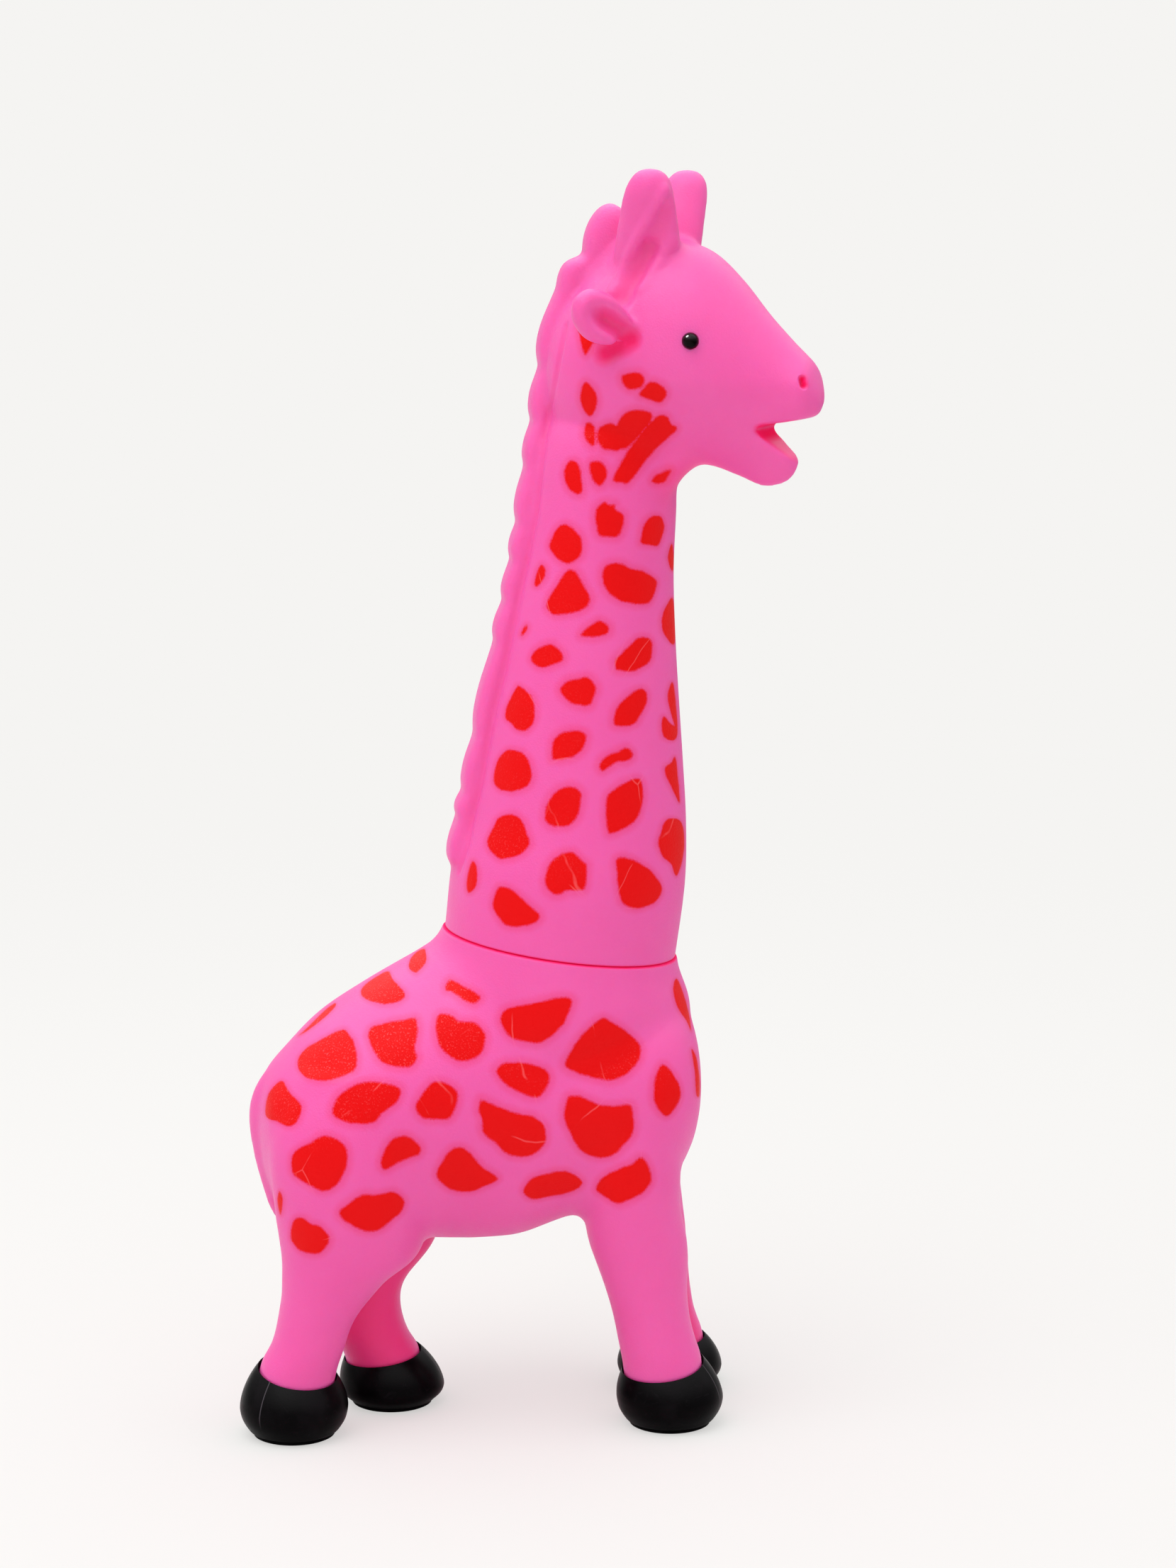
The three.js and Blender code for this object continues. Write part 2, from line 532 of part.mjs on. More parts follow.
place('body_shell', bodyShell(), pinkVinyl);
place('neck_head_shell', neckHeadShell(), pinkVinyl);
for (const [name, leg] of Object.entries(LEGS)) place(`hoof_${name}`, hoofSolid(leg), blackVinyl);
place('eye_right', eyeSolid(-1), blackBead);
place('eye_left', eyeSolid(1), blackBead);
place('squeaker_cup', squeakerCup(), whitePlastic);
place('squeaker_reed_plate', reedPlate(), whitePlastic);
place('squeaker_reed', reed(), reedStrip);

// The toy's origin is on the floor, under the middle of its box
const box = new THREE.Box3().setFromObject(giraffe);
const middle = box.getCenter(new THREE.Vector3());
giraffe.position.set(-middle.x, -middle.y, -box.min.z);

export default giraffe;
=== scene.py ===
"""Giraffe squeeze toy of soft pink vinyl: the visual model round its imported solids.

Lengths in the classes are millimetres in the sculptor's frame: the toy walks along +X, its
left side is +Y and the table is z = 0. Each finished piece is settled into the metres and
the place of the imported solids.
"""

import json
import logging
import math
from dataclasses import dataclass, field
from enum import Enum
from typing import Any, Iterable, Sequence

import bpy
import numpy as np
from mathutils import Matrix, Vector
from mathutils.bvhtree import BVHTree

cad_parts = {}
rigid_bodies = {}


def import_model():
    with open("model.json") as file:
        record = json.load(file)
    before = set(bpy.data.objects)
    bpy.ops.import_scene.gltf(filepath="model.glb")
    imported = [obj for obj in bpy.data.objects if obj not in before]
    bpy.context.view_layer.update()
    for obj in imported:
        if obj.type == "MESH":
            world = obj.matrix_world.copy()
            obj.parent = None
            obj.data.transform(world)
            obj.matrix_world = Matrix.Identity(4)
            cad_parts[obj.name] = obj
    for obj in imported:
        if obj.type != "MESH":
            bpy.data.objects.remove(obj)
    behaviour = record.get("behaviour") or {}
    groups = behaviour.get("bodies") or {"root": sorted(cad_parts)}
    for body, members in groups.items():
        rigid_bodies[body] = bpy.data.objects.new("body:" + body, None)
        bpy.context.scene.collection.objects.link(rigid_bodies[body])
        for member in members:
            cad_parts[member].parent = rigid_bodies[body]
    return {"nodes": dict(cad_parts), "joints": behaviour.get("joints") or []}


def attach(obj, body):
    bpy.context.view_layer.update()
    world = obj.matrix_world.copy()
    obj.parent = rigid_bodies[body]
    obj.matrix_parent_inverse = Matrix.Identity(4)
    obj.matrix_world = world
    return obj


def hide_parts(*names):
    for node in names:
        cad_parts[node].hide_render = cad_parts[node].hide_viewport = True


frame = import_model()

LOG = logging.getLogger("giraffe")
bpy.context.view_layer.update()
MM_IN_METRE = 1000.0
TINY = 1e-9
# The lean of a ring that stands across the x axis, in degrees.
UPRIGHT = -90.0
# The least half size of a ring, so that an end can still be scaled.
LEAST_RING = 0.02
# How finely the weights of a skin are told apart when it is smoothed.
WEIGHT_LEVELS = 10
# How far round a fine press the skin is divided, first and then once more.
FINE_ROOM = (2.2, 1.0)

Row = tuple[float, ...]
Rows = Sequence[Row]
Pixel = tuple[float, float]
Span = tuple[float, float]
Triple = tuple[float, float, float]
# A path of painted shade: the path, its reach and its strength.
ShadePath = tuple[np.ndarray, float, float]


class Side(Enum):
    """The toy's two sides, as the sign of y."""

    RIGHT = -1
    LEFT = 1


class Leg(Enum):
    """The four legs, by the names of their hooves."""

    FRONT_RIGHT = "front_right"
    FRONT_LEFT = "front_left"
    REAR_RIGHT = "rear_right"
    REAR_LEFT = "rear_left"


class Reach(Enum):
    """Where a press of the modelling tool is repeated."""

    SEEN = "only on the side that the photograph shows"
    HEAD = "on both sides of the head"
    BODY = "on both sides of the body"


# ---------------------------------------------------------------- the maker's tools


def hex_linear(colour: str) -> tuple[float, float, float, float]:
    """Turns an sRGB hex colour to linear light.

    Args:
        colour: The colour as "#rrggbb".

    Returns:
        Red, green, blue and an alpha of one.
    """
    parts = [int(colour[i : i + 2], 16) / 255 for i in (1, 3, 5)]
    linear = [c / 12.92 if c <= 0.04045 else ((c + 0.055) / 1.055) ** 2.4 for c in parts]
    return (*linear, 1.0)


def add_node(
    tree: bpy.types.NodeTree, kind: str, inputs: dict | None = None, **settings: Any
) -> bpy.types.Node:
    """Adds a node with its settings and links.

    Args:
        tree: The node tree.
        kind: The node's type name.
        inputs: Values or output sockets by the input's name or number.
        **settings: Properties of the node.

    Returns:
        The new node.
    """
    node = tree.nodes.new(kind)
    for name, value in settings.items():
        setattr(node, name, value)
    for key, value in (inputs or {}).items():
        if isinstance(value, bpy.types.NodeSocket):
            tree.links.new(value, node.inputs[key])
        else:
            node.inputs[key].default_value = value
    return node


def new_material(name: str) -> bpy.types.Material:
    """Starts a material with an empty node tree.

    Args:
        name: The name of the real material.

    Returns:
        The material.
    """
    made = bpy.data.materials.new(name)
    made.use_nodes = True
    made.node_tree.nodes.clear()
    return made


def deselect() -> None:
    """Leaves edit mode and clears the selection."""
    if bpy.context.object and bpy.context.object.mode != "OBJECT":
        bpy.ops.object.mode_set(mode="OBJECT")
    bpy.ops.object.select_all(action="DESELECT")


def pick(obj: bpy.types.Object) -> None:
    """Selects one object and makes it active."""
    deselect()
    obj.select_set(True)
    bpy.context.view_layer.objects.active = obj


def shape(obj: bpy.types.Object, kind: str, **settings: Any) -> None:
    """Adds a modifier and applies it.

    Args:
        obj: The piece.
        kind: The modifier's type.
        **settings: Properties of the modifier.
    """
    pick(obj)
    modifier = obj.modifiers.new(kind.lower(), kind)
    for name, value in settings.items():
        setattr(modifier, name, value)
    bpy.ops.object.modifier_apply(modifier=modifier.name)


def place(obj: bpy.types.Object, matrix: Matrix) -> bpy.types.Object:
    """Moves a piece and puts its place into its mesh.

    Args:
        obj: The piece, at the origin.
        matrix: Where it goes.

    Returns:
        The same piece.
    """
    pick(obj)
    obj.matrix_world = matrix
    bpy.ops.object.transform_apply(location=True, rotation=True, scale=True)
    return obj


def join(name: str, pieces: Sequence[bpy.types.Object]) -> bpy.types.Object:
    """Joins lofted forms into one mesh.

    Args:
        name: The name of the joined piece.
        pieces: The forms; the first one is kept.

    Returns:
        The joined piece.
    """
    pick(pieces[0])
    for piece in pieces:
        piece.select_set(True)
    bpy.ops.object.join()
    pieces[0].name = name
    return pieces[0]


def upright(x: float, top: float, bottom: float, width: float) -> Row:
    """Turns a station with a top and bottom line into a ring that stands across x."""
    return (x, 0.0, (top + bottom) / 2, (top - bottom) / 2, width, UPRIGHT)


def ramp(values: np.ndarray, start: float, end: float) -> np.ndarray:
    """Grades values from 0 at the start to 1 at the end, which may be the lower mark."""
    return np.clip((values - start) / (end - start), 0, 1)


def glide(rows: Rows, pitch: float) -> np.ndarray:
    """Runs a smooth curve through rings and sets closer rings on it.

    Args:
        rows: Rings as x, y, z, half size along, half size across, lean in degrees.
        pitch: The distance between the new rings.

    Returns:
        The new rings, one to a row.
    """
    table = np.array(rows, float)
    chords = np.linalg.norm(np.diff(table[:, :3], axis=0), axis=1)
    spans = np.sqrt(np.maximum(chords, TINY))
    slopes = np.diff(table, axis=0) / spans[:, None]
    before, after = spans[:-1, None], spans[1:, None]
    inner = (slopes[:-1] * after + slopes[1:] * before) / (before + after)
    tangents = np.vstack([slopes[:1], inner, slopes[-1:]])
    found = []
    for i, span in enumerate(spans):
        count = max(2, math.ceil(chords[i] / pitch))
        for t in np.arange(count) / count:
            h00, h10 = 2 * t**3 - 3 * t**2 + 1, t**3 - 2 * t**2 + t
            h01, h11 = 3 * t**2 - 2 * t**3, t**3 - t**2
            low = h00 * table[i] + h10 * span * tangents[i]
            found.append(low + h01 * table[i + 1] + h11 * span * tangents[i + 1])
    found.append(table[-1])
    return np.array(found)


def loft(
    name: str, rings: np.ndarray | Rows, sides: int, squareness: float = 1.0
) -> bpy.types.Object:
    """Lofts a closed form by extruding a disc from ring to ring.

    Args:
        name: The form's name.
        rings: Rings as x, y, z, half size along, half size across, lean in degrees.
        sides: The number of corners of a ring.
        squareness: 1 for round rings, less for squarer ones.

    Returns:
        The form, with its place in its mesh.
    """
    deselect()
    bpy.ops.mesh.primitive_circle_add(
        vertices=sides, radius=1.0, fill_type="NGON", location=(0, 0, 0))
    obj = bpy.context.object
    obj.name = name
    disc = points_of(obj)
    move_points(obj, np.sign(disc) * np.abs(disc) ** squareness)
    bpy.ops.object.mode_set(mode="EDIT")
    bpy.ops.mesh.select_all(action="SELECT")
    last = np.array([0.0, 0.0, 0.0, 1.0, 1.0, 0.0])
    for number, row in enumerate(rings):
        ring = np.array(row, float)
        ring[3:5] = np.maximum(ring[3:5], LEAST_RING)
        step, centre = tuple(ring[:3] - last[:3]), tuple(ring[:3])
        size = (ring[3] / last[3], ring[4] / last[4], 1)
        if number:
            bpy.ops.mesh.extrude_region_move(TRANSFORM_OT_translate={"value": step})
        else:
            bpy.ops.transform.translate(value=step)
        if last[5]:
            bpy.ops.transform.rotate(
                value=math.radians(last[5]), orient_axis="Y", center_override=centre)
        bpy.ops.transform.resize(value=size, center_override=centre)
        if ring[5]:
            bpy.ops.transform.rotate(
                value=-math.radians(ring[5]), orient_axis="Y", center_override=centre)
        last = ring
    bpy.ops.mesh.select_all(action="SELECT")
    bpy.ops.mesh.normals_make_consistent(inside=False)
    bpy.ops.object.mode_set(mode="OBJECT")
    return obj


def points_of(obj: bpy.types.Object) -> np.ndarray:
    """Gives the places of a mesh's vertices, one to a row."""
    flat = np.empty(3 * len(obj.data.vertices), np.float32)
    obj.data.vertices.foreach_get("co", flat)
    return flat.reshape(-1, 3).astype(float)


def normals_of(obj: bpy.types.Object) -> np.ndarray:
    """Gives the normals of a mesh's vertices, one to a row."""
    flat = np.empty(3 * len(obj.data.vertices), np.float32)
    obj.data.vertex_normals.foreach_get("vector", flat)
    return flat.reshape(-1, 3).astype(float)


def move_points(obj: bpy.types.Object, points: np.ndarray) -> None:
    """Sets the places of a mesh's vertices."""
    obj.data.vertices.foreach_set("co", points.astype(np.float32).ravel())
    obj.data.update()


def path_distance(points: np.ndarray, path: np.ndarray) -> np.ndarray:
    """Measures how far points lie from a path.

    Args:
        points: The points, one to a row.
        path: The corners of the path, or a single point.

    Returns:
        The distance of each point.
    """
    best = np.full(len(points), np.inf)
    ends = zip(path, path[1:]) if len(path) > 1 else [(path[0], path[0])]
    for a, b in ends:
        d = b - a
        t = np.clip((points - a) @ d / max(float(d @ d), TINY), 0, 1)
        best = np.minimum(best, np.linalg.norm(points - a - t[:, None] * d, axis=1))
    return best


def relax(obj: bpy.types.Object, rounds: int, weights: np.ndarray | None = None) -> None:
    """Smooths a skin, more where it is weighted.

    Args:
        obj: The skin.
        rounds: How often it is smoothed.
        weights: A weight from 0 to 1 for each vertex, or None for all alike.
    """
    settings: dict[str, Any] = {"factor": 0.5, "iterations": rounds}
    if weights is not None:
        group = obj.vertex_groups.new(name="soft")
        levels = np.round(weights * WEIGHT_LEVELS).astype(int)
        for level in range(1, WEIGHT_LEVELS + 1):
            chosen = np.nonzero(levels == level)[0]
            if len(chosen):
                group.add([int(i) for i in chosen], level / WEIGHT_LEVELS, "REPLACE")
        settings["vertex_group"] = group.name
    shape(obj, "SMOOTH", **settings)
    obj.vertex_groups.clear()


def hollow_depth(obj: bpy.types.Object, rounds: int = 200, share: float = 0.7) -> np.ndarray:
    """Measures how deep each vertex lies under an evened skin.

    Args:
        obj: The skin.
        rounds: How widely the skin is evened out for the comparison.
        share: How far a vertex goes towards its neighbours in a round.

    Returns:
        The depths, negative on bulges.
    """
    count = len(obj.data.vertices)
    pairs = np.empty(2 * len(obj.data.edges), np.int32)
    obj.data.edges.foreach_get("vertices", pairs)
    a, b = pairs[0::2], pairs[1::2]
    number = np.maximum(np.bincount(a, minlength=count) + np.bincount(b, minlength=count), 1)
    points = points_of(obj)
    even = points.copy()
    for _ in range(rounds):
        total = [np.bincount(a, even[b, k], count) + np.bincount(b, even[a, k], count)
                 for k in range(3)]
        even += share * (np.stack(total, 1) / number[:, None] - even)
    return ((even - points) * normals_of(obj)).sum(1)


def mark(obj: bpy.types.Object, name: str, values: np.ndarray) -> None:
    """Writes a value to each vertex, for the material to read."""
    layer = obj.data.attributes.new(name, "FLOAT", "POINT")
    layer.data.foreach_set("value", values.astype(np.float32))


def press(obj: bpy.types.Object, path: np.ndarray, radius: float, height: float) -> None:
    """Raises or presses the skin along a path, as with a round modelling tool.

    Args:
        obj: The skin.
        path: The path on the skin, one point to a row.
        radius: The tool's reach.
        height: How far the skin rises; negative presses in.
    """
    points, normals = points_of(obj), normals_of(obj)
    share = np.clip(1 - (path_distance(points, path) / radius) ** 2, 0, 1) ** 2
    move_points(obj, points + normals * (height * share)[:, None])


def cut_plane(obj: bpy.types.Object, point: Vector, normal: Vector, remove: bool) -> None:
    """Cuts a skin with a plane, and may drop and close the part beyond it.

    Args:
        obj: The skin.
        point: A point of the plane.
        normal: The plane's normal.
        remove: Whether the part that the normal points to is removed and the cut filled.
    """
    pick(obj)
    bpy.ops.object.mode_set(mode="EDIT")
    bpy.ops.mesh.select_all(action="SELECT")
    bpy.ops.mesh.bisect(plane_co=point, plane_no=normal, use_fill=remove, clear_outer=remove)
    bpy.ops.object.mode_set(mode="OBJECT")


def edit_faces(obj: bpy.types.Object, chosen: Iterable[int]) -> None:
    """Opens a piece for editing with only some of its faces selected.

    Args:
        obj: The piece.
        chosen: The numbers of the faces.
    """
    pick(obj)
    bpy.ops.object.mode_set(mode="EDIT")
    bpy.ops.mesh.select_all(action="DESELECT")
    bpy.ops.object.mode_set(mode="OBJECT")
    for number in chosen:
        obj.data.polygons[number].select = True
    bpy.ops.object.mode_set(mode="EDIT")
    bpy.ops.mesh.select_mode(type="FACE")


def refine(obj: bpy.types.Object, centre: Sequence[float], radius: float) -> None:
    """Subdivides the faces round a point, for a small form that is pressed there.

    Args:
        obj: The skin.
        centre: The middle of the place.
        radius: How far round it the faces are divided.
    """
    near = path_distance(points_of(obj), np.array([centre], float)) < radius
    faces = obj.data.polygons
    edit_faces(obj, [face.index for face in faces if all(near[i] for i in face.vertices)])
    bpy.ops.mesh.subdivide(number_cuts=1)
    bpy.ops.object.mode_set(mode="OBJECT")


def cut_away(obj: bpy.types.Object, cutter: bpy.types.Object) -> None:
    """Cuts a closed form out of a piece and removes the form."""
    shape(obj, "BOOLEAN", operation="DIFFERENCE", object=cutter, solver="MANIFOLD")
    bpy.data.objects.remove(cutter)


def smooth_faces(obj: bpy.types.Object, angle: float) -> None:
    """Shades a piece smooth up to an angle between its faces."""
    pick(obj)
    bpy.ops.object.shade_smooth_by_angle(angle=math.radians(angle))


@dataclass(frozen=True)
class SeamFrame:
    """The tilted round seam between the body and the neck, where the neck swivels."""

    x: float = 12.7
    z: float = 114.0
    radius: float = 27.3
    lean: float = 7.9
    clear: float = 0.1
    upper_round: float = 0.22
    lower_round: float = 0.5
    # where the rims are cut into rows of faces, from inside to the rim
    edge_cuts: Row = (1.6, 1.0, 0.6, 0.32, 0.12)
    # a rim's flat face: the middle that is left alone, and how squarely it looks along the axis
    hub: float = 5.0
    square: float = 0.99
    groove: float = 0.3
    play: float = 0.04
    # painted shade in the seam's groove, where the seam's shadow falls: its reach and how full it
    # is at the middle
    painted_shade_reach: float = 0.3
    painted_shade_core: float = 1.4

    @property
    def middle(self) -> Vector:
        """The middle of the seam."""
        return Vector((self.x, 0, self.z))

    @property
    def axis(self) -> Vector:
        """The swivel axis, upwards."""
        lean = math.radians(self.lean)
        return Vector((math.sin(lean), 0, math.cos(lean)))

    def ring(self, height: float, radius: float) -> Row:
        """A ring about the swivel axis at a height above the seam."""
        centre = self.middle + self.axis * height
        return (centre.x, 0.0, centre.z, radius, radius, self.lean)

    def trim(self, skin: bpy.types.Object, upper: bool) -> None:
        """Cuts a casting off at its side of the seam and rounds the edge.

        Args:
            skin: The casting, made longer than the seam.
            upper: Whether it is the casting above the seam.
        """
        sign = 1 if upper else -1
        outward = self.axis * -sign
        seat = self.middle + self.axis * (self.clear * sign)
        edge_round = self.upper_round if upper else self.lower_round
        for depth in self.edge_cuts:
            cut_plane(skin, seat - outward * depth, outward, remove=False)
        cut_plane(skin, seat, outward, remove=True)
        points = points_of(skin)
        inward = np.array(-outward)
        depth = (points - np.array(seat)) @ inward
        spoke = points - np.array(seat) - depth[:, None] * inward
        reach = np.linalg.norm(spoke, axis=1)
        near = (depth < edge_round) & (reach > self.hub)
        fall = np.clip(edge_round - depth, 0, edge_round)
        draw = edge_round - np.sqrt(np.maximum(edge_round**2 - fall**2, 0))
        points[near] -= spoke[near] / reach[near, None] * draw[near, None]
        move_points(skin, points)
        flat = [face for face in skin.data.polygons if face.normal.dot(outward) > self.square]
        edit_faces(skin, [max(flat, key=lambda face: face.area).index])
        bpy.ops.mesh.inset(thickness=self.groove)
        bpy.ops.mesh.extrude_region_move(
            TRANSFORM_OT_translate={"value": outward * (self.clear - self.play)})
        bpy.ops.object.mode_set(mode="OBJECT")

    def painted_shade(self, points: np.ndarray) -> np.ndarray:
        """Gives points painted shade of 1 in the seam's groove and 0 away from it."""
        away = np.abs((points - np.array(self.middle)) @ np.array(self.axis))
        return np.clip(self.painted_shade_core - away / (self.clear + self.painted_shade_reach), 0, 1)


@dataclass(frozen=True)
class HeadFrame:
    """The head's own frame: it looks along its x and is turned to the toy's right."""

    x: float = 24.0
    turn: float = 29.0

    @property
    def matrix(self) -> Matrix:
        """From the head's frame to the toy's."""
        turn = Matrix.Rotation(math.radians(-self.turn), 4, "Z")
        return Matrix.Translation((self.x, 0, 0)) @ turn

    @property
    def axes(self) -> np.ndarray:
        """The head's axes in the toy's frame, one to a column."""
        return np.array(self.matrix.to_3x3())

    def local(self, points: np.ndarray) -> np.ndarray:
        """Gives points of the toy in the head's frame."""
        return (points - [self.x, 0, 0]) @ self.axes

    def mirrored(self, points: np.ndarray) -> np.ndarray:
        """Reflects points of the toy in the head's middle plane."""
        return (self.local(points) * [1, -1, 1]) @ self.axes.T + [self.x, 0, 0]


@dataclass(frozen=True)
class PhotoView:
    """The photograph's camera, in the sculptor's millimetres."""

    eye: Triple = (-92.8, -913.1, 310.0)
    aim: Triple = (19.3, 0.0, 151.0)
    lens: float = 91.63
    sensor: float = 36.0
    width: int = 1659
    height: int = 2212
    flip: int = 1

    @property
    def focal(self) -> float:
        """The focal length in pixels."""
        return self.lens / self.sensor * self.height

    @property
    def axes(self) -> np.ndarray:
        """Right, up and forward, one to a row."""
        forward = (Vector(self.aim) - Vector(self.eye)).normalized()
        right = forward.cross(Vector((0, 0, 1))).normalized()
        return np.array([right, right.cross(forward), forward])

    def far_side(self) -> "PhotoView":
        """The same camera on the toy's other side, with the picture turned over."""
        return PhotoView((self.eye[0], -self.eye[1], self.eye[2]), self.aim, flip=-1)

    def pixels(self, points: np.ndarray) -> np.ndarray:
        """Where points show in the picture.

        Args:
            points: Points in the toy's frame.

        Returns:
            Their pixels, one to a row.
        """
        seen = (points - np.array(self.eye)) @ self.axes.T
        across = self.width / 2 + self.focal * (self.flip * seen[:, 0] / seen[:, 2])
        down = self.height / 2 - self.focal * (seen[:, 1] / seen[:, 2])
        return np.stack([across, down], axis=1)

    def ray(self, pixel: Pixel) -> np.ndarray:
        """The direction from the eye through a pixel."""
        across = self.flip * (pixel[0] - self.width / 2) / self.focal
        up = (self.height / 2 - pixel[1]) / self.focal
        way = np.array([across, up, 1.0]) @ self.axes
        return way / np.linalg.norm(way)

    def on_plane(self, pixel: Pixel, y: float) -> np.ndarray:
        """The point behind a pixel on the upright plane at y."""
        way = self.ray(pixel)
        return np.array(self.eye) + way * ((y - self.eye[1]) / way[1])

    def on_skin(
        self, tree: BVHTree, pixels: Iterable[Pixel], step: float = 5.0
    ) -> np.ndarray:
        """Lays a drawn line on the skin behind it.

        Args:
            tree: The skin's faces.
            pixels: The corners of the line.
            step: The distance of its points, in pixels.

        Returns:
            The points on the skin.
        """
        corners = [np.array(p, float) for p in pixels]
        drawn = [corners[0]]
        for a, b in zip(corners, corners[1:]):
            count = max(1, round(float(np.linalg.norm(b - a)) / step))
            drawn += [a + (b - a) * (i + 1) / count for i in range(count)]
        hits = [tree.ray_cast(Vector(self.eye), Vector(self.ray(p)))[0] for p in drawn]
        return np.array([h for h in hits if h is not None], float).reshape(-1, 3)


@dataclass(frozen=True)
class Stroke:
    """A press of the modelling tool, drawn on the photograph.

    Attributes:
        pixels: The corners of the line in the picture.
        radius: The tool's reach.
        height: How far the skin rises; negative presses in.
        painted_shade: How much shade is painted there in deep crimson, from 0 to 1.
        reach: Where the press is repeated.
        fine: Whether the skin is divided there first.
    """

    pixels: tuple[Pixel, ...]
    radius: float
    height: float
    painted_shade: float = 0.0
    reach: Reach = Reach.HEAD
    fine: bool = False

    def repeats(self, path: np.ndarray) -> list[np.ndarray]:
        """Repeats a path on the other side where the stroke asks for it.

        Args:
            path: The path that the photograph shows.

        Returns:
            All the paths.
        """
        if self.reach is Reach.HEAD:
            return [path, HEAD.mirrored(path)]
        return [path, path * [1, -1, 1]] if self.reach is Reach.BODY else [path]


SEAM = SeamFrame()
HEAD = HeadFrame()
PHOTO = PhotoView()


def skin_tree(obj: bpy.types.Object) -> BVHTree:
    """Gives the faces of a skin in a form that rays can be cast on."""
    return BVHTree.FromObject(obj, bpy.context.evaluated_depsgraph_get())


def sculpt(skin: bpy.types.Object, strokes: Iterable[Stroke]) -> list[ShadePath]:
    """Lays strokes on a skin and presses them.

    Args:
        skin: The skin.
        strokes: The strokes, in order.

    Returns:
        The painted shade that they leave: path, reach and strength.
    """
    shade_paths = []
    for stroke in strokes:
        path = PHOTO.on_skin(skin_tree(skin), stroke.pixels)
        if not len(path):
            LOG.warning("a stroke at %s misses the skin", stroke.pixels[0])
            continue
        for each in stroke.repeats(path):
            for room in FINE_ROOM if stroke.fine else ():
                refine(skin, each.mean(0), stroke.radius + room)
            press(skin, each, stroke.radius, stroke.height)
        if stroke.painted_shade:
            pressed = PHOTO.on_skin(skin_tree(skin), stroke.pixels)
            shade_paths += [(each, stroke.radius, stroke.painted_shade) for each in stroke.repeats(pressed)]
    return shade_paths


# ---------------------------------------------------------------- sprayed spots


@dataclass(frozen=True)
class Spot:
    """One sprayed spot, by the outline that it shows in the photograph.

    Attributes:
        outline: The outline's corners, x and y in turn.
        tucked: Whether it runs on under an ear.
    """

    outline: Row
    tucked: bool = False


